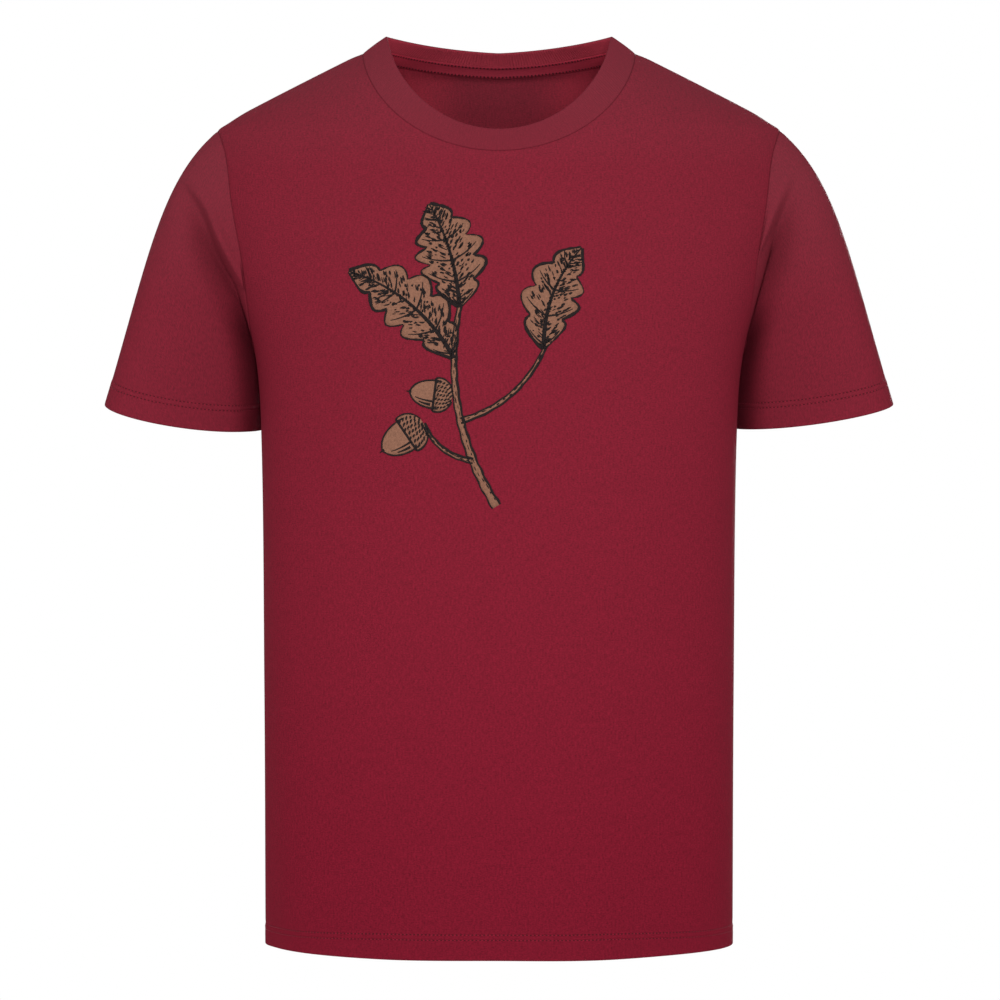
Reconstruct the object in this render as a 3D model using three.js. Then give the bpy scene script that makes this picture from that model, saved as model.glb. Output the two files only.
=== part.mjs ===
// Short-sleeved crew-neck T-shirt as it hangs on a wearer: hollow, and open at neck, cuffs and hem.
// Millimetres, +Z up, chest towards -Y, the wearer's left arm towards +X.
// The origin is midway between the two points where a shoulder seam meets the neck rib.
import * as THREE from 'three';

// Driving dimensions of the garment
const BODY_LENGTH = 713; // shoulder seam at the neck, down to the hem
const NECK_HALF_WIDTH = 109; // origin to neck seam, on the shoulder line
const NECK_DROP_FRONT = 86; // shoulder line down to the neck seam at the centre front
const NECK_DROP_BACK = 5.7;
const SHOULDER_DROP = 62; // shoulder line down to the top of the armhole
const UNDERARM_DROP = 228; // shoulder line down to the bottom of the armhole
const ARMHOLE_NOTCH_FRONT = 58; // how far the armhole cuts into the panel, measured along the cloth
const ARMHOLE_NOTCH_BACK = 54;
const FABRIC = 1.0; // single jersey
const FOLD_THICKNESS = 2.2; // two layers of jersey, as in a hem
const FOLD_STEP = 0.6; // height of the step where a hem's inner layer ends
const BODY_HEM = 20; // turned-up depth at the bottom
const SLEEVE_HEM = 20;
const RIB_THICKNESS = 2.4; // rib knit folded double
const TAPE_WIDTH = 10; // tape that covers the back neck seam
const TAPE_THICKNESS = 0.8;
const TAPE_DROP = 1; // from the neck seam down to the tape's upper edge
const TAPE_CLEARANCE = 1.4; // between tape and back panel, where the seam's raw edges lie
const SEAM_GAP = 0.3; // between two pieces that are sewn together

// Form of the body: [height, value] knots from hem to neck, joined by smooth curves
const HEM = -BODY_LENGTH;
const SHOULDER = -SHOULDER_DROP;
const HALF_WIDTH = [
  [HEM, 186.5], [-500, 187.5], [-300, 190], [-237, 195.5], [-177, 213],
  [-120, 228.5], [-76, 229.5], [SHOULDER, 225], [-56, 216.6], [-45.5, 199.8], [-5, 121], [0, NECK_HALF_WIDTH],
];
const DEPTH_FRONT = [[HEM, 114], [-450, 114], [-235, 121], [-150, 114], [-86, 100], [-40, 84], [0, 70]];
const DEPTH_BACK = [[HEM, 113], [-450, 106], [-190, 116], [-110, 107], [-60, 93], [-30, 81], [0, 71]];
// Powers of the outline's curve, 2 and 2 for an ellipse: more is boxier, less is sharper at the sides
const ACROSS_POWER = [[HEM, 2.25], [-300, 2.4], [-150, 2.3], [SHOULDER, 2.05], [0, 2]];
const DEPTH_POWER = [[HEM, 2.25], [-300, 2.4], [-150, 2.2], [SHOULDER, 1.7], [-30, 1.35], [0, 1.15]];

// Form of the sleeve on the +X side
const CUFF_CENTRE = new THREE.Vector3(252, 24, -288);
const CUFF_OUTWARD = new THREE.Vector3(66.5, 0, 9); // from the cuff's centre to its outer edge
const CUFF_HALF_DEPTH = 58;
const CUFF_FRONT_DROP = 10.5; // the cuff's front edge hangs lower than its back
const CUFF_BACK_RISE = 4;
const CUFF_INNER_SETBACK = 18; // its inner edge lies further back, tucked behind the side of the body
const CAP_DIRECTION = new THREE.Vector3(0.77, 0, -0.64); // how the sleeve leaves the shoulder
const UNDERARM_DIRECTION = new THREE.Vector3(-0.1, 0.7, -0.8);
const OUTER_CUFF_DIRECTION = new THREE.Vector3(0.287, 0, -0.958); // how it arrives at the cuff
const INNER_CUFF_DIRECTION = new THREE.Vector3(0, 0, -1);
const CAP_SWELL = 0.2; // share of front-to-back fullness added as the sleeve leaves the armhole
const START_REACH = 0.254; // Bezier handle lengths as shares of the chord
const END_REACH = 0.508;
const SLEEVE_CLEARANCE = 1.2; // between the hanging sleeve and the side of the body
const CLEARANCE_GROWTH = 0.1; // how fast that clearance opens, per length of sleeve from the armhole
const CLEAR_BELOW = -124; // height under which the sleeve could touch the body

// The sleeve falls away past the edge of the shoulder cap, along a line from the cap down to the armpit
const CAP_EDGE_TOP = new THREE.Vector2(243, -108);
const CAP_EDGE_BOTTOM = new THREE.Vector2(202, -184);
const CAP_EDGE_HOLLOW = 13; // depth of the hollow beyond the edge
const CAP_EDGE_DROP = 16; // width over which the surface falls away
const CAP_EDGE_RUN = 34; // how far the hollow runs on down the sleeve
const CAP_EDGE_START = -0.35; // where the hollow begins, as a share of the edge
const CAP_EDGE_FULL = 0.8; // and where it is full
const CAP_EDGE_FADE = 25; // depth over which it fades in, in front of the shoulder line
const CAP_SEAM_FADE = 9; // distance from the armhole seam over which it fades in

// Form of the neck rib's free edge
const RIB_TOP_HALF_WIDTH = 89.8;
const RIB_TOP_RISE = 14.2; // above the shoulder line at the sides
const RIB_TOP_FRONT = -67.6; // height at the centre front
const RIB_TOP_BACK = 8;
const RIB_LEAN_FRONT = 0.88; // depth of the free edge as a share of the seam's depth
const RIB_LEAN_BACK = 0.87;
const RIB_BELLY = 0.4; // outward bow of the band between seam and free edge
const RIB_CORNER = 0.16; // how gently its free edge turns over the shoulder, 0 for a sharp corner
const SEAM_CORNER = 0.1; // and its seam
const RIB_BACK_POWER = 1.2; // how its free edge rises across the back, from the middle to the shoulders
const BACK_SEAM_POWER = 4; // how its seam dips across the back

// Burgundy cotton
const JERSEY_COLOUR = 0x7e1e2e;
const RIB_COLOUR = 0x7b2734;
const TAPE_COLOUR = 0x71202d;
const JERSEY_ROUGHNESS = 0.9;
const RIB_ROUGHNESS = 0.95;

// Facets. Pieces that share a seam share its corners there.
const NECK_COLUMNS = 10; // of half a panel, those that end at the neck
const SHOULDER_COLUMNS = 5; // and those that end at the shoulder seam
const SIDE_ROWS = 9; // rows of a panel that end at the side seam
const ARMHOLE_ROWS = 12; // and those that end at the armhole
const SLEEVE_ROWS = 11;
const OUTLINE_SAMPLES = 60;

const PANEL_COLUMNS = NECK_COLUMNS + SHOULDER_COLUMNS;
const PANEL_ROWS = SIDE_ROWS + ARMHOLE_ROWS;
const SLEEVE_SEGMENTS = 2 * ARMHOLE_ROWS;
const RIB_SEGMENTS = 4 * NECK_COLUMNS;
const FRONT = -1;
const BACK = 1;
const WEARERS_LEFT = 1;
const WEARERS_RIGHT = -1;
const HEM_TOP = HEM + BODY_HEM;

// Smooth value at a height, through knots sorted by height (cubic Hermite with central slopes)
function along(knots, z) {
  let k = 0;
  while (k < knots.length - 2 && z > knots[k + 1][0]) k += 1;
  const slope = (i) => {
    const low = knots[Math.max(i - 1, 0)];
    const high = knots[Math.min(i + 1, knots.length - 1)];
    return (high[1] - low[1]) / (high[0] - low[0]);
  };
  const [z0, v0] = knots[k];
  const [z1, v1] = knots[k + 1];
  const h = z1 - z0;
  const t = (z - z0) / h;
  return (
    v0 * (2 * t ** 3 - 3 * t ** 2 + 1) +
    v1 * (3 * t ** 2 - 2 * t ** 3) +
    h * slope(k) * (t ** 3 - 2 * t ** 2 + t) +
    h * slope(k + 1) * (t ** 3 - t ** 2)
  );
}

// One quarter of the body's horizontal outline at height z: half width a, depth b and the powers p and q
function quarter(face, z) {
  return {
    a: along(HALF_WIDTH, z),
    b: along(face === FRONT ? DEPTH_FRONT : DEPTH_BACK, z),
    p: along(ACROSS_POWER, z),
    q: along(DEPTH_POWER, z),
  };
}

// Quarter outline from the centre line to the side as points with their distance along the cloth
function quarterOutline(face, z) {
  const { a, b, p, q } = quarter(face, z);
  const points = [];
  let length = 0;
  for (let i = 0; i <= OUTLINE_SAMPLES; i += 1) {
    const angle = (Math.PI / 2) * (i / OUTLINE_SAMPLES);
    const x = a * Math.sin(angle) ** (2 / p);
    const y = face * b * Math.max(Math.cos(angle), 0) ** (2 / q);
    if (i > 0) length += Math.hypot(x - points[i - 1].x, y - points[i - 1].y);
    points.push({ x, y, length });
  }
  return points;
}

const quarterGirth = (face, z) => quarterOutline(face, z).at(-1).length;

// Point on the body's outside, at a distance along the cloth from the centre line
function bodyPoint(face, distance, z) {
  const points = quarterOutline(face, z);
  let i = 1;
  while (i < points.length - 1 && points[i].length < distance) i += 1;
  const p = points[i - 1];
  const q = points[i];
  const t = THREE.MathUtils.clamp((distance - p.length) / (q.length - p.length), 0, 1);
  return new THREE.Vector3(p.x + (q.x - p.x) * t, p.y + (q.y - p.y) * t, z);
}

// Distance along the cloth at which the outline reaches x
function distanceAt(face, x, z) {
  const points = quarterOutline(face, z);
  let i = 1;
  while (i < points.length - 1 && points[i].x < x) i += 1;
  const p = points[i - 1];
  const q = points[i];
  const t = THREE.MathUtils.clamp((x - p.x) / Math.max(q.x - p.x, 1e-9), 0, 1);
  return p.length + (q.length - p.length) * t;
}

// Outward direction of the body's surface at a point on it
function bodyNormal(face, point) {
  const step = 1;
  const { a, b, p, q } = quarter(face, point.z);
  const above = quarter(face, Math.min(point.z + step, 0));
  const below = quarter(face, Math.max(point.z - step, HEM));
  const rise = Math.min(point.z + step, 0) - Math.max(point.z - step, HEM);
  const u = Math.abs(point.x / a);
  const v = Math.abs(point.y / b);
  return new THREE.Vector3(
    (Math.sign(point.x) * p * u ** (p - 1)) / a,
    (face * q * v ** (q - 1)) / b,
    -(p * u ** p * (above.a - below.a)) / rise / a - (q * v ** q * (above.b - below.b)) / rise / b,
  ).normalize();
}

// Share of a neck curve's drop at an angle: 0 at the shoulder, where it turns over gently, 1 at the centre line
function neckTurn(angle, corner) {
  return (Math.hypot(Math.sin(angle), corner) - corner) / (Math.hypot(1, corner) - corner);
}

// Neck seam on the body, by angle: 0 at the shoulder, a quarter turn at the centre line
function neckSeam(face, angle, outset) {
  const drop =
    face === FRONT
      ? NECK_DROP_FRONT * neckTurn(angle, SEAM_CORNER)
      : NECK_DROP_BACK * Math.sin(angle) ** BACK_SEAM_POWER;
  const z = -drop - outset;
  const x = NECK_HALF_WIDTH * Math.cos(angle) + outset * Math.cos(angle);
  return { distance: distanceAt(face, x, z), z };
}

// Armhole seam on the body, by angle: 0 at the shoulder, half a turn at the underarm
function armholeSeam(face, angle, inset) {
  const notch = face === FRONT ? ARMHOLE_NOTCH_FRONT : ARMHOLE_NOTCH_BACK;
  const half = (UNDERARM_DROP - SHOULDER_DROP) / 2;
  const z = -(SHOULDER_DROP + half) + half * Math.cos(angle);
  return { distance: quarterGirth(face, z) - notch * Math.sin(angle) - inset, z };
}

// Edge of half a panel from the top of the hem fold up the side seam and round the armhole, by row
function panelSide(face, row) {
  if (row < SIDE_ROWS) {
    const z = THREE.MathUtils.lerp(HEM_TOP, -UNDERARM_DROP, row / SIDE_ROWS);
    return { distance: quarterGirth(face, z) - SEAM_GAP / 2, z };
  }
  return armholeSeam(face, Math.PI * (1 - (row - SIDE_ROWS) / ARMHOLE_ROWS), SEAM_GAP / 2);
}

// Edge of half a panel from the centre line along the neck seam, then down the shoulder seam, by column
function panelTop(face, column) {
  if (column < NECK_COLUMNS) {
    return neckSeam(face, (Math.PI / 2) * (1 - column / NECK_COLUMNS), SEAM_GAP / 2);
  }
  const z = -SHOULDER_DROP * ((column - NECK_COLUMNS) / SHOULDER_COLUMNS);
  return { distance: quarterGirth(face, z) - SEAM_GAP / 2, z };
}

// Cloth coordinates inside half a panel above its hem, blended from its four edges
function panelInterior(face, column, row) {
  const u = column / PANEL_COLUMNS;
  const v = row / PANEL_ROWS;
  const bottom = (share) => ({ distance: share * (quarterGirth(face, HEM_TOP) - SEAM_GAP / 2), z: HEM_TOP });
  const centre = { distance: 0, z: THREE.MathUtils.lerp(HEM_TOP, panelTop(face, 0).z, v) };
  const blend = (key) =>
    (1 - v) * bottom(u)[key] + v * panelTop(face, column)[key] +
    (1 - u) * centre[key] + u * panelSide(face, row)[key] -
    (1 - u) * (1 - v) * bottom(0)[key] - u * (1 - v) * bottom(1)[key] -
    (1 - u) * v * panelTop(face, 0)[key] - u * v * panelTop(face, PANEL_COLUMNS)[key];
  return { distance: blend('distance'), z: blend('z') };
}

// Rows of half a panel: each gives cloth coordinates and thickness by column
function panelRows(face) {
  const straight = (z) => (column) => ({
    distance: (column / PANEL_COLUMNS) * (quarterGirth(face, z) - SEAM_GAP / 2),
    z,
    thickness: FOLD_THICKNESS,
  });
  const rows = [straight(HEM), straight(HEM_TOP - FOLD_STEP)];
  for (let row = 0; row <= PANEL_ROWS; row += 1) {
    rows.push((column) => ({ ...panelInterior(face, column, row), thickness: FABRIC }));
  }
  return rows;
}

// Outside and inside points of a whole panel
function panelGrids(face) {
  const outer = [];
  const inner = [];
  for (const row of panelRows(face)) {
    const outerRow = [];
    const innerRow = [];
    for (let column = -PANEL_COLUMNS; column <= PANEL_COLUMNS; column += 1) {
      const { distance, z, thickness } = row(Math.abs(column));
      const point = bodyPoint(face, distance, z);
      const under = point.clone().addScaledVector(bodyNormal(face, point), -thickness);
      const mirror = new THREE.Vector3(column < 0 ? -1 : 1, 1, 1);
      outerRow.push(point.multiply(mirror));
      innerRow.push(under.multiply(mirror));
    }
    outer.push(outerRow);
    inner.push(innerRow);
  }
  return { outer, inner };
}

// Armhole seam as a closed loop on the +X side: 0 on the shoulder, then the chest, the underarm and the back
function armholeLoop(angle) {
  const face = angle <= Math.PI ? FRONT : BACK;
  const { distance, z } = armholeSeam(face, face === FRONT ? angle : 2 * Math.PI - angle, 0);
  return bodyPoint(face, distance, z);
}

function cuffLoop(angle) {
  const front = Math.sin(angle);
  const point = CUFF_CENTRE.clone().addScaledVector(CUFF_OUTWARD, Math.cos(angle));
  point.y += (CUFF_INNER_SETBACK * (1 - Math.cos(angle))) / 2 - CUFF_HALF_DEPTH * front;
  point.z -= front > 0 ? CUFF_FRONT_DROP * front : CUFF_BACK_RISE * front;
  return point;
}

// Hollow beyond the edge of the shoulder cap, on the chest side of the sleeve
function capHollow(point) {
  const edge = CAP_EDGE_BOTTOM.clone().sub(CAP_EDGE_TOP);
  const offset = new THREE.Vector2(point.x, point.z).sub(CAP_EDGE_TOP);
  const alongEdge = offset.dot(edge) / edge.lengthSq();
  const beyond = edge.cross(offset) / edge.length();
  const { smoothstep } = THREE.MathUtils;
  const falling = smoothstep(beyond, 0, CAP_EDGE_DROP) * Math.exp(-((beyond / CAP_EDGE_RUN) ** 2));
  const chestSide = smoothstep(-point.y, 0, CAP_EDGE_FADE);
  return CAP_EDGE_HOLLOW * falling * smoothstep(alongEdge, CAP_EDGE_START, CAP_EDGE_FULL) * chestSide;
}

// Keeps the hanging sleeve outside the body's side
function clearOfBody(point, clearance) {
  const { a, b, p, q } = quarter(point.y < 0 ? FRONT : BACK, point.z);
  const reach = a * Math.max(1 - Math.abs(point.y / b) ** q, 0) ** (1 / p) + clearance;
  if (point.z < CLEAR_BELOW && point.x < reach) point.x = reach;
  return point;
}

// Point on the +X sleeve: angle round the arm, share of the way from armhole to cuff
function sleevePoint(angle, share) {
  const start = armholeLoop(angle);
  const end = cuffLoop(angle);
  const chord = start.distanceTo(end);
  const topShare = (1 + Math.cos(angle)) / 2;
  const leave = UNDERARM_DIRECTION.clone().lerp(CAP_DIRECTION, topShare);
  leave.y -= CAP_SWELL * Math.sin(angle);
  const arrive = INNER_CUFF_DIRECTION.clone().lerp(OUTER_CUFF_DIRECTION, topShare);
  const point = new THREE.CubicBezierCurve3(
    start,
    start.clone().addScaledVector(leave.normalize(), chord * START_REACH),
    end.clone().addScaledVector(arrive.normalize(), -chord * END_REACH),
    end,
  ).getPoint(share);
  const gone = share * chord;
  point.y += capHollow(point) * THREE.MathUtils.smoothstep(gone, 0, CAP_SEAM_FADE);
  return clearOfBody(point, Math.min(SLEEVE_CLEARANCE, gone * CLEARANCE_GROWTH));
}

function sleeveNormal(angle, share) {
  const step = 0.01;
  const low = Math.max(share - step, 0);
  const high = Math.min(share + step, 1);
  const turn = (a) => (a + 2 * Math.PI) % (2 * Math.PI);
  const round = sleevePoint(turn(angle + step), share).sub(sleevePoint(turn(angle - step), share));
  const down = sleevePoint(angle, high).sub(sleevePoint(angle, low));
  return round.cross(down).normalize();
}

// Rows of the sleeve from armhole to cuff, closer at the hem: shares of the way, with thickness
function sleeveRows(angle) {
  const chord = armholeLoop(angle).distanceTo(cuffLoop(angle));
  const hemTop = 1 - SLEEVE_HEM / (3 * END_REACH * chord);
  const seam = (2 * SEAM_GAP) / chord;
  const rows = [];
  for (let row = 0; row <= SLEEVE_ROWS; row += 1) {
    rows.push({ share: seam + (hemTop - seam) * (row / SLEEVE_ROWS), thickness: FABRIC });
  }
  rows.push({ share: hemTop + FOLD_STEP / (3 * END_REACH * chord), thickness: FOLD_THICKNESS });
  rows.push({ share: 1, thickness: FOLD_THICKNESS });
  return rows;
}

function sleeveGrids(side) {
  const outer = [];
  const inner = [];
  const mirror = new THREE.Vector3(side, 1, 1);
  for (let segment = 0; segment < SLEEVE_SEGMENTS; segment += 1) {
    const angle = (2 * Math.PI * segment) / SLEEVE_SEGMENTS;
    const outerColumn = [];
    const innerColumn = [];
    for (const { share, thickness } of sleeveRows(angle)) {
      const point = sleevePoint(angle, share);
      const under = point.clone().addScaledVector(sleeveNormal(angle, share), -thickness);
      outerColumn.push(point.multiply(mirror));
      innerColumn.push(under.multiply(mirror));
    }
    outer.push(outerColumn);
    inner.push(innerColumn);
  }
  return { outer, inner };
}

// Neck rib by angle round the neck: 0 on the +X shoulder, a quarter turn at the centre front
function ribRing(angle) {
  const face = Math.sin(angle) >= 0 ? FRONT : BACK;
  const { distance, z } = neckSeam(face, Math.asin(Math.abs(Math.sin(angle))), 0);
  const seam = bodyPoint(face, distance, z);
  seam.x *= Math.sign(Math.cos(angle)) || 1;
  const lean = face === FRONT ? RIB_LEAN_FRONT : RIB_LEAN_BACK;
  const frontHeight = THREE.MathUtils.lerp(RIB_TOP_RISE, RIB_TOP_FRONT, neckTurn(angle, RIB_CORNER));
  const backShare = Math.abs(Math.cos(angle)) ** RIB_BACK_POWER;
  const backHeight = THREE.MathUtils.lerp(RIB_TOP_BACK, RIB_TOP_RISE, backShare);
  const top = new THREE.Vector3(
    RIB_TOP_HALF_WIDTH * Math.cos(angle),
    seam.y * lean,
    face === FRONT ? frontHeight : backHeight,
  );
  return { seam, top };
}

function ribGrids() {
  const outer = [];
  const inner = [];
  const middle = new THREE.Vector3(0, 0, -NECK_DROP_FRONT / 2);
  const turn = 0.01;
  for (let segment = 0; segment < RIB_SEGMENTS; segment += 1) {
    const angle = (2 * Math.PI * segment) / RIB_SEGMENTS;
    const { seam, top } = ribRing(angle);
    const round = ribRing(angle + turn).seam.sub(ribRing(angle - turn).seam);
    const rise = top.clone().sub(seam).normalize();
    const normal = round.cross(rise).normalize();
    if (normal.dot(seam.clone().sub(middle)) < 0) normal.negate();
    const seamNormal = bodyNormal(Math.sin(angle) >= 0 ? FRONT : BACK, seam);
    const outerColumn = [];
    const innerColumn = [];
    for (const share of [0, 0.3, 0.7, 1]) {
      const foot = seam.clone().addScaledVector(rise, SEAM_GAP / 2);
      const point = foot.lerp(top, share).addScaledVector(normal, RIB_BELLY * 4 * share * (1 - share));
      outerColumn.push(point);
      innerColumn.push(point.clone().addScaledVector(share > 0 ? normal : seamNormal, -RIB_THICKNESS));
    }
    outer.push(outerColumn);
    inner.push(innerColumn);
  }
  return { outer, inner };
}

// Tape inside the back neck, from shoulder to shoulder, flat against the back panel just under the seam
function tapeGrids() {
  const panel = panelGrids(BACK);
  const outer = [];
  const inner = [];
  for (let column = 2 - NECK_COLUMNS; column < NECK_COLUMNS - 1; column += 1) {
    const at = column + PANEL_COLUMNS;
    const edge = panel.inner.at(-1)[at];
    const next = panel.inner.at(-2)[at];
    const inward = edge.clone().sub(panel.outer.at(-1)[at]).normalize();
    const outerColumn = [];
    const innerColumn = [];
    for (const below of [TAPE_DROP, TAPE_DROP + TAPE_WIDTH]) {
      const point = edge.clone().lerp(next, below / edge.distanceTo(next));
      outerColumn.push(point.clone().addScaledVector(inward, TAPE_CLEARANCE));
      innerColumn.push(point.clone().addScaledVector(inward, TAPE_CLEARANCE + TAPE_THICKNESS));
    }
    outer.push(outerColumn);
    inner.push(innerColumn);
  }
  return { outer, inner };
}

// Closed solid between an outside and an inside grid. A ring closes on itself along the grid's first index.
function slab({ outer, inner }, ring) {
  const lines = outer.length;
  const points = outer[0].length;
  const positions = [...outer.flat(), ...inner.flat()].flatMap((p) => [p.x, p.y, p.z]);
  const at = (layer, line, point) => layer * lines * points + (line % lines) * points + point;
  const faces = [];
  const apart = (i, j) =>
    Math.hypot(...[0, 1, 2].map((axis) => positions[3 * i + axis] - positions[3 * j + axis]));
  const quad = (a, b, c, d) => {
    if (apart(a, c) <= apart(b, d)) faces.push(a, b, c, a, c, d);
    else faces.push(a, b, d, b, c, d);
  };
  for (let line = 0; line < (ring ? lines : lines - 1); line += 1) {
    for (let point = 0; point < points - 1; point += 1) {
      quad(at(0, line, point), at(0, line + 1, point), at(0, line + 1, point + 1), at(0, line, point + 1));
      quad(at(1, line, point), at(1, line, point + 1), at(1, line + 1, point + 1), at(1, line + 1, point));
    }
    quad(at(0, line, 0), at(1, line, 0), at(1, line + 1, 0), at(0, line + 1, 0));
    const last = points - 1;
    quad(at(0, line, last), at(0, line + 1, last), at(1, line + 1, last), at(1, line, last));
  }
  if (!ring) {
    for (let point = 0; point < points - 1; point += 1) {
      quad(at(0, 0, point), at(0, 0, point + 1), at(1, 0, point + 1), at(1, 0, point));
      const end = lines - 1;
      quad(at(0, end, point), at(1, end, point), at(1, end, point + 1), at(0, end, point + 1));
    }
  }
  const geometry = new THREE.BufferGeometry();
  geometry.setAttribute('position', new THREE.Float32BufferAttribute(positions, 3));
  geometry.setIndex(facingOut(positions, faces));
  geometry.computeVertexNormals();
  return geometry;
}

// The same faces, turned round if they enclose a negative volume
function facingOut(positions, faces) {
  const corner = (i) => new THREE.Vector3().fromArray(positions, 3 * faces[i]);
  let volume = 0;
  for (let i = 0; i < faces.length; i += 3) volume += corner(i).dot(corner(i + 1).cross(corner(i + 2)));
  return volume < 0 ? faces.reverse() : faces;
}

const shirt = new THREE.Group();
shirt.name = 't_shirt';

function addPiece(name, geometry, color, roughness) {
  const piece = new THREE.Mesh(geometry, new THREE.MeshStandardMaterial({ color, roughness, metalness: 0 }));
  piece.name = name;
  shirt.add(piece);
}

addPiece('front_panel', slab(panelGrids(FRONT), false), JERSEY_COLOUR, JERSEY_ROUGHNESS);
addPiece('back_panel', slab(panelGrids(BACK), false), JERSEY_COLOUR, JERSEY_ROUGHNESS);
addPiece('sleeve_left', slab(sleeveGrids(WEARERS_LEFT), true), JERSEY_COLOUR, JERSEY_ROUGHNESS);
addPiece('sleeve_right', slab(sleeveGrids(WEARERS_RIGHT), true), JERSEY_COLOUR, JERSEY_ROUGHNESS);
addPiece('neck_rib', slab(ribGrids(), true), RIB_COLOUR, RIB_ROUGHNESS);
addPiece('neck_tape', slab(tapeGrids(), false), TAPE_COLOUR, RIB_ROUGHNESS);

export default shirt;
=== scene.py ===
"""Burgundy crew-neck T-shirt as it hangs on a wearer: jersey panels, rib neck, neck tape, hems, print."""

import math

import bpy
import numpy as np
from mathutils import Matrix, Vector


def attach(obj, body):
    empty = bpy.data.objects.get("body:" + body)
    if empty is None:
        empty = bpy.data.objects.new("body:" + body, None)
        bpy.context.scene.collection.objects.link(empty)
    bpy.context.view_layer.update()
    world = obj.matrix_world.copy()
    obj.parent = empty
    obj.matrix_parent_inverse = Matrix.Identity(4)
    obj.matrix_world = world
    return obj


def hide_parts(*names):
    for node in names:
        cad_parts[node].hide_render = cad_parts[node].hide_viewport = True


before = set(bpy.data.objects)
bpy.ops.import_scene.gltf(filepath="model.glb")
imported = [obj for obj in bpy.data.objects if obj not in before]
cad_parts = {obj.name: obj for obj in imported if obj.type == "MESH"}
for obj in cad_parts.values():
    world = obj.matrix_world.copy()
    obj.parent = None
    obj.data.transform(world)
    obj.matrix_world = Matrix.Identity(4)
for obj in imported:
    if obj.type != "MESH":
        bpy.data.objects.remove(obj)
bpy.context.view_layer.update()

MM = 0.001  # lengths below are millimetres, and meshes are metres
FRONT = -1
BACK = 1
LEFT = 1  # the wearer's left, at +X
RIGHT = -1

# Driving dimensions of the garment
BODY_LENGTH = 713
NECK_HALF_WIDTH = 109
NECK_DROP_FRONT = 86
NECK_DROP_BACK = 5.7
SHOULDER_DROP = 62
UNDERARM_DROP = 228
ARMHOLE_NOTCH = {FRONT: 51, BACK: 54}
HEM = -BODY_LENGTH
HEM_TOP = HEM + 20
SHOULDER = -SHOULDER_DROP

# Form of the body: height and value, joined by smooth curves
HALF_WIDTH = [
    (HEM, 186.5), (-500, 187.5), (-300, 190), (-237, 195.5), (-177, 213), (-120, 228.5), (-76, 229.5),
    (SHOULDER, 225), (-56, 216.6), (-45.5, 199.8), (-5, 121), (0, NECK_HALF_WIDTH),
]
DEPTH = {
    FRONT: [(HEM, 114), (-450, 114), (-235, 121), (-150, 114), (-86, 100), (-40, 84), (0, 70)],
    BACK: [(HEM, 113), (-450, 106), (-190, 116), (-110, 107), (-60, 93), (-30, 81), (0, 71)],
}
ACROSS_POWER = [(HEM, 2.25), (-300, 2.4), (-150, 2.3), (SHOULDER, 2.05), (0, 2)]
DEPTH_POWER = [(HEM, 2.25), (-300, 2.4), (-150, 2.2), (SHOULDER, 1.7), (-30, 1.35), (0, 1.15)]

# Form of the sleeve on the +X side
CUFF_CENTRE = np.array([252, 24, -288])
CUFF_OUTWARD = np.array([65.2, 0, 9])
CUFF_HALF_DEPTH = 58
CUFF_FRONT_DROP = 10.5
CUFF_BACK_RISE = 4
CUFF_UNEVEN = 1.5  # how much lower the right cuff hangs in front, and how much higher the left
CUFF_INNER_SETBACK = 18
CUFF_SQUARENESS = {FRONT: 0.28, BACK: 0.04}  # how much flatter than an ellipse the arm's section hangs
CUFF_TO_FRONT = (-0.1, 0.4)  # sines between which the back's section becomes the front's
CREVICE_DEPTH = 20  # how far the sleeve turns back beside the body
CREVICE_WIDTH = 10
CREVICE_START = (-195, -235)  # heights between which it opens
CREVICE_FRONT = 0.3  # sine at which it is full, round the arm
CREVICE_SEAM_FADE = 20
CAP_DIRECTION = np.array([0.77, 0, -0.64])
UNDERARM_DIRECTION = np.array([-0.1, 0.7, -0.8])
OUTER_CUFF_DIRECTION = np.array([0.287, 0, -0.958])
INNER_CUFF_DIRECTION = np.array([0, 0, -1])
CAP_SWELL = 0.2
START_REACH = 0.254
END_REACH = 0.508
SLEEVE_CLEARANCE = 0.6
CLEARANCE_GROWTH = 0.1
CLEAR_BELOW = -124
CAP_EDGE_TOP = {LEFT: np.array([227, -112]), RIGHT: np.array([247, -108])}
CAP_EDGE_BOTTOM = {LEFT: np.array([198, -184]), RIGHT: np.array([206, -184])}
CAP_EDGE_BOW = {LEFT: 0.5, RIGHT: 3.5}  # how far the edge bows towards the body near its top
CAP_EDGE_BOW_PLACE = (0.25, 0.25)  # middle and spread of the bow along the edge
CAP_EDGE_RIDGE = 2.5
CAP_EDGE_HOLLOW = 24
CAP_EDGE_DROP = 6  # width over which the surface falls away
CAP_EDGE_LEAD = 1.8  # how far before the edge it begins to
CAP_RIDGE_PLACE = (-3.6, 4.2)  # middle and spread of the ridge beside the edge
CAP_EDGE_RUN = 17  # how far the hollow runs on down the sleeve
CAP_EDGE_START = (-0.35, 0.8)  # where along the edge the hollow begins and is full
CAP_EDGE_FADE = 25
CAP_SEAM_FADE = 5  # distance from the armhole seam over which the hollow begins

# Form of the neck rib
RIB_TOP_HALF_WIDTH = 89.8
RIB_TOP_RISE = 14.2
RIB_TOP_FRONT = -67.6
RIB_TOP_BACK = 8
RIB_LEAN_FRONT = 0.88
RIB_LEAN_BACK = 0.87
RIB_BACK_POWER = 1.2  # how its free edge rises across the back, from the middle to the shoulders
BACK_SEAM_POWER = 4  # how its seam dips across the back
RIB_BELLY = 0.4
RIB_CORNER = 0.16
SEAM_CORNER = 0.1

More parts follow.
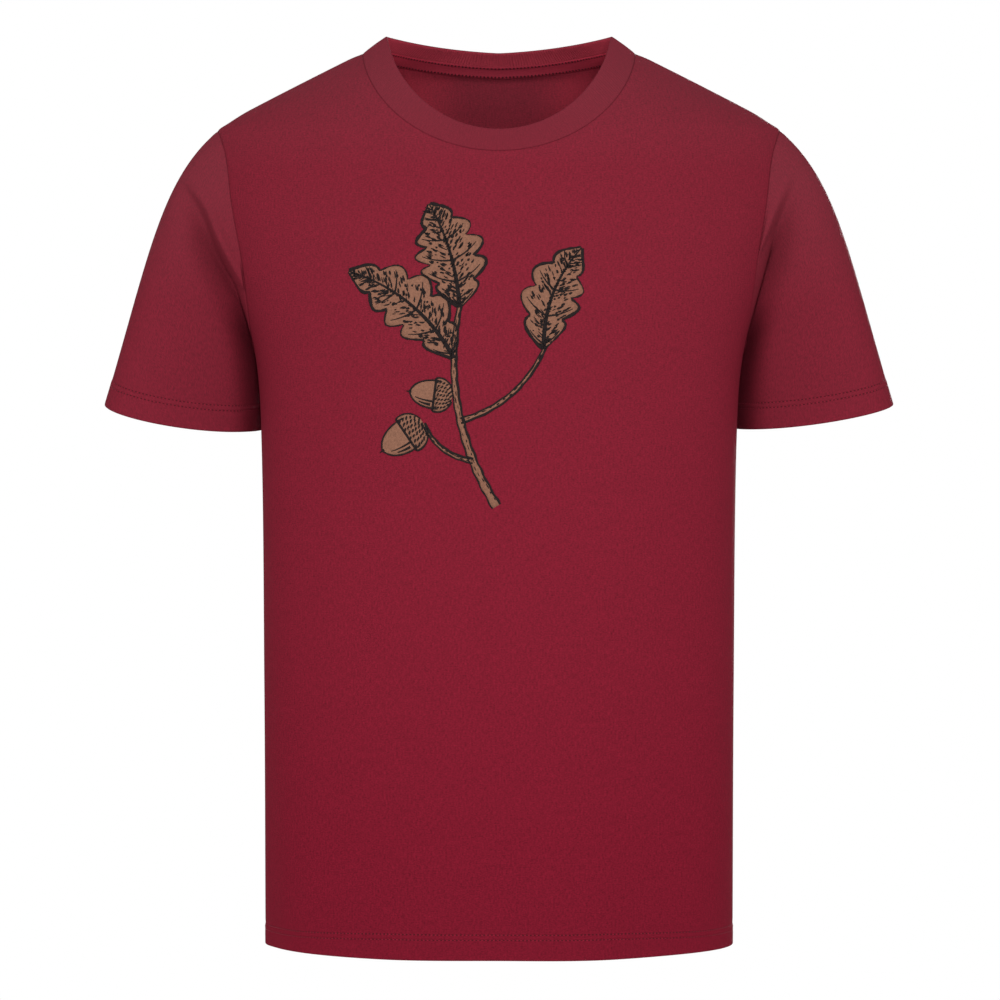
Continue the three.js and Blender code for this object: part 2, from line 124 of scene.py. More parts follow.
# Cloth
JERSEY = 0.9  # thickness of one layer
HEM_FOLD = 2.0  # thickness of a folded hem
HEM_DEPTH = 22.0
HEM_END = 0.4  # half the width over which the fold's inner edge thins out
HEM_RISE = 2.0  # how far the hem's edge rides up at the sides
HEM_SAG = 2.0  # how far its stitch rows sink there
HEM_RISE_ACROSS = (70, 190)  # distances from the centre between which both set in
HEM_RISE_UP = (25, 160)  # heights above the edge between which both fade
HEM_FULLNESS = 0.35
HEM_ROWS = (16.0, 20.0)  # height of the two stitch rows above the hem's edge
CUFF_ROWS = (17.0, 21.0)
ROW_FADE = (3.0, 1.5)  # how far below and above the rows the hem's fullness fades
ROW_DIP = 0.24  # how far the stitches pull the cloth in
ROW_WIDTH = 0.75
ROW_RIDGE = 0.22  # how far the cloth stands up between the rows
ROW_RIDGE_WIDTH = 1.3
SEAM_DIP = 0.22  # how far cloth rolls in at a seam
SEAM_ROLL = 1.0  # width of that roll
SEAM_SWELL = 0.1  # height of the swell beside it
SEAM_SWELL_PLACE = (4.5, 2.5)  # middle and spread of the swell
SEAM_LINE = 0.5  # width of the shade painted along a seam
UNDERARM_ROLL = 0.6  # relief of the seam under the arm, as a share of other seams' relief
# Light painted on the inside of the cloth, the tape and the rib at the neck
INSIDE_PAINTED_LIGHT = 0.08  # how far the inside goes towards the painted light colour
CORNER_PAINTED_LIGHT = 0.46  # how much further at the corners of the neck
CORNER_ACROSS = (20, 90)  # where those corners begin and are full, across and up
CORNER_UP = (-110, -50)
TAPE_PAINTED_LIGHT = 0.04
RIB_PAINTED_LIGHT = 0.45
RIB_CORNER_PAINTED_LIGHT = 0.22
BEHIND = (-0.25, 0.1)  # sines, towards the back, between which the neck's front becomes its back
SEAM_BLEND = 5.0  # width over which a piece turns from its neighbour's surface to its own
RIB_FOLD = 2.4
RIB_PITCH = 2.3
RIB_STEPS = 8  # mesh columns for each rib
RIB_RELIEF = 0.42
RIB_FLATTER = 0.25  # how much flatter the ribs lie in front than at the sides
RIB_PINCH = 2.5  # height over which they rise from the seam
RIB_SHARES = np.array([0, 0.03, 0.07, 0.12, 0.2, 0.35, 0.5, 0.65, 0.8, 0.92, 1.0])
TAPE_WIDTH = 10.5
TAPE_RISE = 4.4  # how far it covers the rib above the seam
TAPE_SPREAD = 0.75  # share of the rib's widening towards the shoulders that it follows
TAPE_ROWS = (1.5, 9.3)  # stitch rows below its upper edge
TAPE_THICKNESS = 0.8
TAPE_CLEARANCE = 1.6
TAPE_LINES = (0, 0.3, 1.6, 4.2, 7.2, TAPE_WIDTH - 1.7, TAPE_WIDTH - 0.3, TAPE_WIDTH)
STITCH_PITCH = 3.0
STITCH_LENGTH = 1.8
THREAD = 0.5  # diameter
THREAD_TAPER = 0.93
THREAD_RISE = 0.1375  # how far its middle line stands off the cloth
THREAD_SINK = 0.44  # how far its ends go in
HOLE = 1.8  # width of the dent that the needle leaves
HOLE_LENGTH = 1.62
HOLE_RIM = 0.03
HOLE_TOP = 0.14
HOLE_BOTTOM = 0.15

# Waves of the hanging cloth: height, run across and up in millimetres to a radian, phase by face, phase
STRAIGHT = math.inf
HEM_WAVES = [(1.5, 29, STRAIGHT, 0.7, 0), (1.0, 17.5, STRAIGHT, 2.1, 0.4)]
BODY_WAVES = [(0.8, 61, 150, 1, 0), (0.5, 43, -97, 0, 2)]
BACK_WAVES = [(1.6, 38, STRAIGHT, 0, 0.5)]
HEM_WAVE_REACH = 190
BACK_WAVE_PLACE = (-420, 150)  # middle and spread of the back's own waves, by height
CALM_SIDE = 45  # distance from the side seams over which waves begin
CALM_TOP = (95, 190)  # depths between which they begin

# Columns and rows in which the panels are drawn, counted as in the solid
NECK_COLUMNS = 10
SHOULDER_COLUMNS = 5
SIDE_ROWS = 9
ARMHOLE_ROWS = 12
PANEL_COLUMNS = NECK_COLUMNS + SHOULDER_COLUMNS
PANEL_ROWS = SIDE_ROWS + ARMHOLE_ROWS
CHUNK = 2000  # points worked on at a time


# Curves and vectors


def along(knots, z):
    """Smooth values at heights z, through knots sorted by height."""
    heights, values = np.array(knots, dtype=float).T
    last = len(heights) - 1
    index = np.arange(last + 1)
    low = np.maximum(index - 1, 0)
    high = np.minimum(index + 1, last)
    slopes = (values[high] - values[low]) / (heights[high] - heights[low])
    k = np.clip(np.searchsorted(heights, z) - 1, 0, last - 1)
    h = heights[k + 1] - heights[k]
    t = (z - heights[k]) / h
    return (
        values[k] * (2 * t**3 - 3 * t**2 + 1)
        + values[k + 1] * (3 * t**2 - 2 * t**3)
        + h * slopes[k] * (t**3 - 2 * t**2 + t)
        + h * slopes[k + 1] * (t**3 - t**2)
    )


def unit(vectors):
    return vectors / np.linalg.norm(vectors, axis=-1, keepdims=True)


def smoothstep(value, low, high):
    t = np.clip((value - low) / (high - low), 0, 1)
    return t * t * (3 - 2 * t)


def bell(value, centre, width):
    return np.exp(-(((value - centre) / width) ** 2))


def closing_in(start, end, count, finest):
    """Values from start to end whose steps shrink towards the end, the last one being finest."""
    span = abs(end - start)
    ratio = 1.0
    while finest * (ratio**count - 1) / max(ratio - 1, 1e-9) < span:
        ratio += 0.005
    steps = ratio ** np.arange(count)[::-1]
    return start + (end - start) * np.concatenate([[0], np.cumsum(steps)]) / steps.sum()


def gone_along(points):
    """Distance gone from the first row of points to each, along every column."""
    steps = np.linalg.norm(np.diff(points, axis=0), axis=-1)
    return np.concatenate([np.zeros_like(steps[:1]), np.cumsum(steps, axis=0)])


def distance_to_line(points, line):
    """Shortest distance from each point to the points of a dense line."""
    flat = points.reshape(-1, 3)
    nearest = np.empty(len(flat))
    for first in range(0, len(flat), CHUNK):
        gaps = flat[first : first + CHUNK, None, :] - line[None, :, :]
        nearest[first : first + CHUNK] = np.sqrt((gaps**2).sum(axis=2).min(axis=1))
    return nearest.reshape(points.shape[:-1])


# Surface of the body


def quarter(face, z):
    return [along(knots, z) for knots in (HALF_WIDTH, DEPTH[face], ACROSS_POWER, DEPTH_POWER)]


TURN = np.linspace(0, math.pi / 2, 181)


def quarter_outline(face, z):
    """Horizontal outlines from centre line to side, one row per height, with distance along the cloth."""
    a, b, p, q = (value[:, None] for value in quarter(face, z))
    x = a * np.sin(TURN) ** (2 / p)
    y = face * b * np.cos(TURN).clip(0) ** (2 / q)
    return x, y, gone_along(np.stack([x.T, y.T], axis=-1)).T


def look_up(wanted, known, *tables):
    """Values of the tables where known reaches wanted, row by row."""
    rows = np.arange(len(wanted))
    index = np.clip((known < wanted[:, None]).sum(axis=1) - 1, 0, known.shape[1] - 2)
    low = known[rows, index]
    high = known[rows, index + 1]
    t = np.clip((wanted - low) / np.maximum(high - low, 1e-9), 0, 1)
    return [table[rows, index] * (1 - t) + table[rows, index + 1] * t for table in tables]


def quarter_girth(face, z):
    z = np.atleast_1d(np.asarray(z, dtype=float))
    return quarter_outline(face, z)[2][:, -1]


def distance_at(face, x, z):
    """Distance along the cloth at which the outline reaches x."""
    xs, _, length = quarter_outline(face, z)
    return look_up(x, xs, length)[0]


def body_point(face, distance, z):
    """Points on the undraped body, at signed distances along the cloth from the centre line."""
    distance, z = np.broadcast_arrays(np.asarray(distance, dtype=float), np.asarray(z, dtype=float))
    flat_distance = distance.ravel()
    flat_z = z.ravel()
    points = np.empty((len(flat_z), 3))
    for first in range(0, len(flat_z), CHUNK):
        part = slice(first, first + CHUNK)
        x, y, length = quarter_outline(face, flat_z[part])
        found_x, found_y = look_up(np.abs(flat_distance[part]), length, x, y)
        points[part, 0] = found_x * np.where(flat_distance[part] < 0, -1, 1)
        points[part, 1] = found_y
        points[part, 2] = flat_z[part]
    return points.reshape(distance.shape + (3,))


def body_normal(face, points):
    """Outward directions of the body's surface at points on it."""
    z = points[..., 2]
    above = np.minimum(z + 1, 0)
    below = np.maximum(z - 1, HEM)
    a, b, p, q = quarter(face, z)
    a_above, b_above, _, _ = quarter(face, above)
    a_below, b_below, _, _ = quarter(face, below)
    u = np.abs(points[..., 0] / a)
    v = np.abs(points[..., 1] / b)
    widening = (a_above - a_below) / (above - below)
    deepening = (b_above - b_below) / (above - below)
    return unit(np.stack([
        np.sign(points[..., 0]) * p * u ** (p - 1) / a,
        face * q * v ** (q - 1) / b,
        -p * u**p * widening / a - q * v**q * deepening / b,
    ], axis=-1))


def either_normal(front, points):
    """Outward directions of the body, of its front where that is true and else of its back."""
    return np.where(front[:, None], body_normal(FRONT, points), body_normal(BACK, points))


def own_normal(normal, at_seam, gone):
    """Outward directions of a piece that far from its seam, turning from the body's to its own."""
    own = smoothstep(gone, 0, SEAM_BLEND)[..., None]
    return unit(normal * own + at_seam * (1 - own))


# Seams


def neck_turn(angle, corner):
    return (np.hypot(np.sin(angle), corner) - corner) / (math.hypot(1, corner) - corner)


def neck_seam(face, angle):
    """Distance along the cloth and height of the neck seam by angle, 0 at the shoulder."""
    if face == FRONT:
        z = -NECK_DROP_FRONT * neck_turn(angle, SEAM_CORNER)
    else:
        z = -NECK_DROP_BACK * np.sin(angle) ** BACK_SEAM_POWER
    return distance_at(face, NECK_HALF_WIDTH * np.cos(angle), z), z


def armhole_seam(face, angle):
    """Armhole seam by angle, 0 at the shoulder and half a turn at the underarm."""
    half = (UNDERARM_DROP - SHOULDER_DROP) / 2
    z = -(SHOULDER_DROP + half) + half * np.cos(angle)
    return quarter_girth(face, z) - ARMHOLE_NOTCH[face] * np.sin(angle), z


def panel_side(face, row):
    """Side edge of half a panel: side seam, then armhole."""
    side_z = HEM_TOP + (-UNDERARM_DROP - HEM_TOP) * np.minimum(row / SIDE_ROWS, 1)
    turn = math.pi * np.clip(1 - (row - SIDE_ROWS) / ARMHOLE_ROWS, 0, 1)
    armhole_distance, armhole_z = armhole_seam(face, turn)
    on_side = row < SIDE_ROWS
    distance = np.where(on_side, quarter_girth(face, side_z), armhole_distance)
    return distance, np.where(on_side, side_z, armhole_z)


def panel_top(face, column):
    """Upper edge of half a panel: neck seam, then shoulder seam."""
    turn = math.pi / 2 * np.clip(1 - column / NECK_COLUMNS, 0, 1)
    neck_distance, neck_z = neck_seam(face, turn)
    shoulder_z = SHOULDER * np.clip((column - NECK_COLUMNS) / SHOULDER_COLUMNS, 0, 1)
    at_neck = column < NECK_COLUMNS
    distance = np.where(at_neck, neck_distance, quarter_girth(face, shoulder_z))
    return distance, np.where(at_neck, neck_z, shoulder_z)


def panel_interior(face, column, row):
    """Cloth coordinates of half a panel above its hem, blended from its edges."""
    u = (column / PANEL_COLUMNS)[None, :]
    v = (row / PANEL_ROWS)[:, None]
    corners = panel_top(face, np.array([0.0, PANEL_COLUMNS]))
    centre_z = HEM_TOP + v * (corners[1][0] - HEM_TOP)
    edges = zip((0, centre_z), panel_side(face, row), panel_top(face, column), corners)
    return [
        (1 - u) * (centre - v * corner[0]) + u * (side[:, None] - v * corner[1]) + v * top
        for centre, side, top, corner in edges
    ]


# Drape


def ripple(waves, face, distance, z):
    """Sum of the waves at cloth coordinates."""
    return sum(
        height * np.sin(distance / across + z / up + by_face * face + phase)
        for height, across, up, by_face, phase in waves
    )


def drape(face, distance, z):
    """How far the hanging cloth stands off the smooth body, by cloth coordinates."""
    from_side = quarter_girth(face, z.ravel()).reshape(z.shape) - np.abs(distance)
    calm = smoothstep(from_side, 0, CALM_SIDE) * smoothstep(-z, *CALM_TOP)
    waves = ripple(HEM_WAVES, face, distance, z) * bell(z, HEM, HEM_WAVE_REACH)
    waves += ripple(BODY_WAVES, face, distance, z)
    if face == BACK:
        waves += ripple(BACK_WAVES, face, distance, z) * bell(z, *BACK_WAVE_PLACE)
    return calm * waves


def hem_relief(height, rows):
    """Relief of a folded hem by height above its edge: a fuller fold, and a dip at each stitch row."""
    fuller = HEM_FULLNESS * (1 - smoothstep(height, rows[0] - ROW_FADE[0], rows[1] + ROW_FADE[1]))
    ridge = ROW_RIDGE * bell(height, (rows[0] + rows[1]) / 2, ROW_RIDGE_WIDTH)
    dips = sum(ROW_DIP * bell(height, row, ROW_WIDTH) for row in rows)
    return fuller + ridge - dips


def hem_thickness(height):
    single = smoothstep(height, HEM_DEPTH - HEM_END, HEM_DEPTH + HEM_END)
    return JERSEY + (HEM_FOLD - JERSEY) * (1 - single)


def seam_relief(distance):
    """Roll of the cloth into a seam, with the slight swell beside it."""
    return SEAM_SWELL * bell(distance, *SEAM_SWELL_PLACE) - SEAM_DIP * bell(distance, 0, SEAM_ROLL)


def painted_seam_shade(distance):
    """How much shade is painted at that distance from a seam, from 0 to 1."""
    return bell(distance, 0, SEAM_LINE)


def settled(distance, z):
    """Heights of the hanging cloth: towards the sides the hem's edge rides up and its stitch rows sink."""
    height = z - HEM
    shift = HEM_RISE - (HEM_RISE + HEM_SAG) * smoothstep(height, 0, HEM_ROWS[0])
    aside = smoothstep(np.abs(distance), *HEM_RISE_ACROSS)
    return z + shift * aside * (1 - smoothstep(height, *HEM_RISE_UP))


# Meshes

FOLD_TURNS = math.pi * np.arange(1, 7) / 7


def make_object(name, points, faces, corners=None, **shades):
    """Smooth-shaded object from points in millimetres, faces, their UV corners, and shades by point."""
    mesh = bpy.data.meshes.new(name)
    mesh.from_pydata((np.asarray(points) * MM).tolist(), [], faces)
    mesh.polygons.foreach_set("use_smooth", np.ones(len(mesh.polygons), dtype=bool))
    if corners is not None:
        layer = mesh.uv_layers.new(name="cloth")
        layer.data.foreach_set("uv", (np.asarray(corners) * MM).ravel())
    for key, values in shades.items():
        mesh.attributes.new(key, "FLOAT", "POINT").data.foreach_set("value", np.ravel(values))
    mesh.update()
    thing = bpy.data.objects.new(name, mesh)
    bpy.context.scene.collection.objects.link(thing)
    return thing


def paint(thing, kinds, *materials):
    """Gives each face the material of its kind."""
    for material in materials:
        thing.data.materials.append(material)
    thing.data.polygons.foreach_set("material_index", np.array(kinds, dtype=np.int32))


def grid_quads(rows, columns):
    """Faces of a grid with that many points each way, as the numbers of their corners."""
    index = np.arange(rows * columns).reshape(rows, columns)
    corners = [index[:-1, :-1], index[:-1, 1:], index[1:, 1:], index[1:, :-1]]
    return np.stack(corners, axis=-1).reshape(-1, 4)


def closed_strip(name, rows, uv, ring=False, round_length=0.0, **shades):
    """Closed solid whose rows run round a section and whose columns run along it, or round a ring."""
    count, columns = rows.shape[:2]
    width = columns + 1 if ring else columns
    quads = grid_quads(count + 1, width)
    corner_r = quads // width % count
    corner_c = quads % width
    if not ring:
        k = np.arange(count // 2 - 1)
        mirror = count - 1 - k
        cap_r = np.stack([k, k + 1, mirror - 1, mirror], axis=1)
        first = np.zeros_like(cap_r)
        corner_r = np.concatenate([corner_r, cap_r, cap_r[:, ::-1]])
        corner_c = np.concatenate([corner_c, first, first + columns - 1])
    index = corner_r * columns + corner_c % columns
    corners = uv.reshape(-1, 2)[index]
    corners[..., 0] += (corner_c >= columns) * round_length
    points = rows.reshape(-1, 3)
    a, b, d, e = (points[index[:, i]] for i in range(4))
    volume = (np.cross(a, b) * d).sum() + (np.cross(a, d) * e).sum()
    if volume < 0:
        index = index[:, ::-1]
        corners = corners[:, ::-1]
    return make_object(name, points, index.tolist(), corners.reshape(-1, 2), **shades)


def hemmed(base, normal, lift, height, stitch_rows, down):
    """Rows of a piece of cloth: down its outside, round the fold of its hem and up its inside."""
    outer = base + normal * (lift + hem_relief(height, stitch_rows))[..., None]
    inner = base + normal * (lift - hem_thickness(height))[..., None]
    middle = (outer[-1] + inner[-1]) / 2
    across = (outer[-1] - inner[-1]) / 2
    below = HEM_FOLD / 2 * down
    fold = [middle + across * math.cos(t) + below * math.sin(t) for t in FOLD_TURNS]
    return np.concatenate([outer, fold, inner[::-1]])


def doubled(values):
    """Values of a hemmed piece's rows, from those of its outside."""
    edge = np.repeat(values[-1:], len(FOLD_TURNS), axis=0)
    return np.concatenate([values, edge, values[::-1]])


# Panels

COLUMNS = np.concatenate([
    np.linspace(0, NECK_COLUMNS, 71),
    np.linspace(NECK_COLUMNS, PANEL_COLUMNS - 1, 33)[1:],
    closing_in(PANEL_COLUMNS - 1, PANEL_COLUMNS, 12, 0.03)[1:],
])
ROWS_UP = np.concatenate([
    np.linspace(0, SIDE_ROWS, 110),
    np.linspace(SIDE_ROWS, PANEL_ROWS - 1, 56)[1:],
    closing_in(PANEL_ROWS - 1, PANEL_ROWS, 18, 0.016)[1:],
])
HEM_HEIGHTS = np.concatenate([[1.0, 3.0, 6.0, 9.0, 12.0, 14.0], np.arange(14.6, 19.9, 0.45)])


def panel_edges(face):
    """Dense points along a panel's edges on the +X side: neck, shoulder, then side and armhole."""
    columns = [np.linspace(0, NECK_COLUMNS, 500), np.linspace(NECK_COLUMNS, PANEL_COLUMNS, 400)]
    rows = [np.linspace(0, SIDE_ROWS, 900), np.linspace(SIDE_ROWS, PANEL_ROWS, 500)]
    top = panel_top(face, np.concatenate(columns))
    side = panel_side(face, np.concatenate(rows))
    return np.concatenate([body_point(face, *top), body_point(face, *side)])


def panel_coordinates(face):
    """Cloth coordinates of a whole panel's grid, from the upper edge down to where the hem turns."""
    distance, z = panel_interior(face, COLUMNS, ROWS_UP)
    hem_z = HEM + HEM_HEIGHTS
    share = COLUMNS / PANEL_COLUMNS
    hem_distance = quarter_girth(face, hem_z)[:, None] * share[None, :]
    distance = np.concatenate([hem_distance, distance])[::-1]
    z = np.concatenate([np.repeat(hem_z[:, None], len(share), axis=1), z])[::-1]
    distance = np.concatenate([-distance[:, :0:-1], distance], axis=1)
    return distance, np.concatenate([z[:, :0:-1], z], axis=1)


def make_panel(face, name):
    distance, z = panel_coordinates(face)
    base = body_point(face, distance, z)
    normal = body_normal(face, base)
    halved = np.abs(base) * [1, 0, 0] + base * [0, 1, 1]
    from_seam = distance_to_line(halved, panel_edges(face))
    lift = drape(face, distance, z) + seam_relief(from_seam)
    base[..., 2] = settled(distance, z)
    rows = hemmed(base, normal, lift, z - HEM, HEM_ROWS, np.array([0, 0, -1]))
    # Painted light on the inside of the panel, more at the back's neck corners
    corners = smoothstep(np.abs(base[..., 0]), *CORNER_ACROSS) * smoothstep(z, *CORNER_UP) * (face == BACK)
    painted_light = doubled(INSIDE_PAINTED_LIGHT + CORNER_PAINTED_LIGHT * corners)
    painted_light[: len(base) + len(FOLD_TURNS)] = 0
    uv = doubled(np.stack([distance, z], axis=-1))
    # Painted shade along the panel's seams
    return closed_strip(name, rows, uv, seam=doubled(painted_seam_shade(from_seam)), inner=painted_light)


# Sleeves

SLEEVE_HEM_HEIGHTS = np.concatenate([[1.0, 3.0, 6.0, 9.0, 12.0, 15.0], np.arange(15.6, 24.0, 0.5)])
HALF_ARM = closing_in(0, math.pi, 110, 0.006)
SLEEVE_TURNS = np.concatenate([HALF_ARM, 2 * math.pi - HALF_ARM[::-1][1:-1]])


def armhole_loop(angle):
    """Armhole seam on the +X side: 0 on the shoulder, then chest, underarm and back."""
    front = body_point(FRONT, *armhole_seam(FRONT, np.minimum(angle, math.pi)))
    back = body_point(BACK, *armhole_seam(BACK, np.minimum(2 * math.pi - angle, math.pi)))
    return np.where((angle <= math.pi)[:, None], front, back)


def cuff_loop(angle, side):
    """Cuff drawn on the +X side, as the sleeve of that side hangs."""
    cosine = np.cos(angle)
    sine = np.sin(angle)
    to_front = smoothstep(sine, *CUFF_TO_FRONT)
    squareness = CUFF_SQUARENESS[BACK] * (1 - to_front) + CUFF_SQUARENESS[FRONT] * to_front
    outward = cosine * (1 + squareness * sine**2)
    forward = sine * (1 + squareness * cosine**2)
    drop = np.where(sine > 0, CUFF_FRONT_DROP - side * CUFF_UNEVEN, CUFF_BACK_RISE)
    points = CUFF_CENTRE + outward[:, None] * CUFF_OUTWARD
    points[:, 1] += CUFF_INNER_SETBACK * (1 - cosine) / 2 - CUFF_HALF_DEPTH * forward
    points[:, 2] -= drop * np.sign(sine) * np.sqrt((1 - outward**2).clip(0))
    return points


def crevice(points):
    """How far back the sleeve turns where it hangs beside the body."""
    z = points[..., 2]
    gap = points[..., 0] - along(HALF_WIDTH, np.clip(z, HEM, 0))
    opened = smoothstep(-z, -CREVICE_START[0], -CREVICE_START[1])
    return CREVICE_DEPTH * bell(gap.clip(0), 0, CREVICE_WIDTH) * opened


def cap_hollow(points, side):
    """Depth of the hollow beyond the edge of the shoulder cap, on the chest side."""
    top = CAP_EDGE_TOP[side]
    edge = CAP_EDGE_BOTTOM[side] - top
    length = math.hypot(*edge)
    off_x = points[..., 0] - top[0]
    off_z = points[..., 2] - top[1]
    along_edge = (off_x * edge[0] + off_z * edge[1]) / length**2
    bowed = CAP_EDGE_BOW[side] * bell(along_edge, *CAP_EDGE_BOW_PLACE)
    beyond = (edge[0] * off_z - edge[1] * off_x) / length + bowed
    falling = smoothstep(beyond, -CAP_EDGE_LEAD, CAP_EDGE_DROP)
    running_out = bell(beyond.clip(0), 0, CAP_EDGE_RUN)
    ridge = CAP_EDGE_RIDGE * bell(beyond, *CAP_RIDGE_PLACE)
    chest_side = smoothstep(-points[..., 1], 0, CAP_EDGE_FADE)
    there = smoothstep(along_edge, *CAP_EDGE_START) * chest_side
    return (CAP_EDGE_HOLLOW * falling * running_out - ridge) * there


def clear_of_body(points, clearance):
    """Points moved outwards where the hanging sleeve would meet the body's side."""
    y = points[..., 1]
    z = np.clip(points[..., 2], HEM, 0)
    a, b, p, q = (np.where(y < 0, f, k) for f, k in zip(quarter(FRONT, z), quarter(BACK, z)))
    reach = a * (1 - np.abs(y / b) ** q).clip(0) ** (1 / p) + clearance
    points[..., 0] = np.where((z < CLEAR_BELOW) & (points[..., 0] < reach), reach, points[..., 0])
    return points


def sleeve_points(angle, share, side):
    """Points of a sleeve, drawn on the +X side. angle has one entry per column, share one row per row."""
    start = armhole_loop(angle)
    end = cuff_loop(angle, side)
    chord = np.linalg.norm(end - start, axis=1)[:, None]
    top_share = ((1 + np.cos(angle)) / 2)[:, None]
    leave = UNDERARM_DIRECTION + (CAP_DIRECTION - UNDERARM_DIRECTION) * top_share
    leave[:, 1] -= CAP_SWELL * np.sin(angle)
    arrive = INNER_CUFF_DIRECTION + (OUTER_CUFF_DIRECTION - INNER_CUFF_DIRECTION) * top_share
    first = start + unit(leave) * chord * START_REACH
    second = end - unit(arrive) * chord * END_REACH
    t = share[..., None]
    points = (
        start * (1 - t) ** 3 + 3 * first * t * (1 - t) ** 2
        + 3 * second * t**2 * (1 - t) + end * t**3
    )
    gone = share * chord[:, 0]
    points[..., 1] += cap_hollow(points, side) * smoothstep(gone, 0, CAP_SEAM_FADE)
    in_front = smoothstep(np.sin(angle), 0, CREVICE_FRONT)
    points[..., 1] += crevice(points) * in_front * smoothstep(gone, 0, CREVICE_SEAM_FADE)
    return clear_of_body(points, np.minimum(SLEEVE_CLEARANCE, gone * CLEARANCE_GROWTH))


def sleeve_table(angle, side, first):
    """Fine shares of the way down, from the first one to the cuff, and the distance gone at each."""
    fine = np.linspace(first, 1, 201)
    return fine, gone_along(sleeve_points(angle, np.repeat(fine[:, None], len(angle), axis=1), side))


def shares_at(lengths, fine, gone):
    """Shares at which the distance gone reaches the lengths, column by column."""
    return np.stack([np.interp(wanted, known, fine) for wanted, known in zip(lengths.T, gone.T)], axis=1)


def sleeve_rows(angle, side):
    """Each row's share of the way down, distance gone and height, with the hem's rows at fixed heights."""
    fine, gone = sleeve_table(angle, side, 0)
    total = gone[-1]
    upper = 1 - closing_in(0, 1, 62, 0.0035)[::-1]
    to_hem = total - SLEEVE_HEM_HEIGHTS[-1] - 1
    lengths = np.concatenate([upper[:, None] * to_hem, total - SLEEVE_HEM_HEIGHTS[::-1, None]])
    return shares_at(lengths, fine, gone), lengths, total - lengths


def sleeve_normals(points):
    round_arm = np.roll(points, -1, axis=1) - np.roll(points, 1, axis=1)
    down_arm = np.gradient(points, axis=0)
    return unit(np.cross(round_arm, down_arm))


def make_sleeve(side, name):
    share, gone, height = sleeve_rows(SLEEVE_TURNS, side)
    base = sleeve_points(SLEEVE_TURNS, share, side)
    at_seam = either_normal(SLEEVE_TURNS <= math.pi, base[0])
    normal = own_normal(sleeve_normals(base), at_seam, gone)
    closed = np.concatenate([base, base[:, :1]], axis=1)
    round_arm = gone_along(closed.swapaxes(0, 1)).T
    round_length = round_arm[len(base) // 2, -1]
    round_arm = round_arm[:, :-1]
    from_under_seam = np.abs(round_arm - round_arm[:, [len(SLEEVE_TURNS) // 2]])
    lift = seam_relief(gone) + UNDERARM_ROLL * seam_relief(from_under_seam)
    rows = hemmed(base, normal, lift, height, CUFF_ROWS, unit(base[-1] - base[-3])) * [side, 1, 1]
    uv = doubled(np.stack([round_arm, -gone], axis=-1))
    # Painted shade along the armhole and underarm seams
    painted_shade = doubled(np.maximum(painted_seam_shade(gone), painted_seam_shade(from_under_seam)))
    return closed_strip(name, rows, uv, ring=True, round_length=round_length, seam=painted_shade)


# Neck


def rib_lines(angle):
    """Seam and free edge of the neck rib: 0 on the +X shoulder, a quarter turn at the centre front."""
    fold = np.arcsin(np.abs(np.sin(angle)).clip(0, 1))
    front = np.sin(angle) >= 0
    seams = [body_point(face, *neck_seam(face, fold)) for face in (FRONT, BACK)]
    seam = np.where(front[:, None], *seams)
    seam[:, 0] *= np.where(np.cos(angle) < 0, -1, 1)
    front_height = RIB_TOP_RISE + (RIB_TOP_FRONT - RIB_TOP_RISE) * neck_turn(angle, RIB_CORNER)
    back_height = RIB_TOP_BACK + (RIB_TOP_RISE - RIB_TOP_BACK) * np.abs(np.cos(angle)) ** RIB_BACK_POWER
    top = np.stack([
        RIB_TOP_HALF_WIDTH * np.cos(angle),
        seam[:, 1] * np.where(front, RIB_LEAN_FRONT, RIB_LEAN_BACK),
        np.where(front, front_height, back_height),
    ], axis=1)
    return seam, top


def rib_frame(angle):
    """Seam, rising directions, heights, and outward directions of the rib, its own and at the seam."""
    seam, top = rib_lines(angle)
    rise = unit(top - seam)
    normal = unit(np.cross(rise, np.gradient(seam, axis=0)))
    facing = (normal * (seam - [0, 0, -NECK_DROP_FRONT / 2])).sum(axis=1)
    normal *= np.sign(facing)[:, None]
    return seam, rise, np.linalg.norm(top - seam, axis=1), normal, either_normal(np.sin(angle) >= 0, seam)


def even_turns(count):
    """Angles round the neck at even steps along the rib's middle, and its length there."""
    fine = np.linspace(0, 2 * math.pi, 1441)
    gone = gone_along(sum(rib_lines(fine)) / 2)
    return np.interp(np.arange(count) / count * gone[-1], gone, fine), gone[-1]


def painted_neck_light(angle, middle, corners):
    """How much light is painted on the inside of the neck: more at its corners than in the middle of the
    back.
    """
    return (middle + corners * np.cos(angle) ** 2) * smoothstep(-np.sin(angle), *BEHIND)


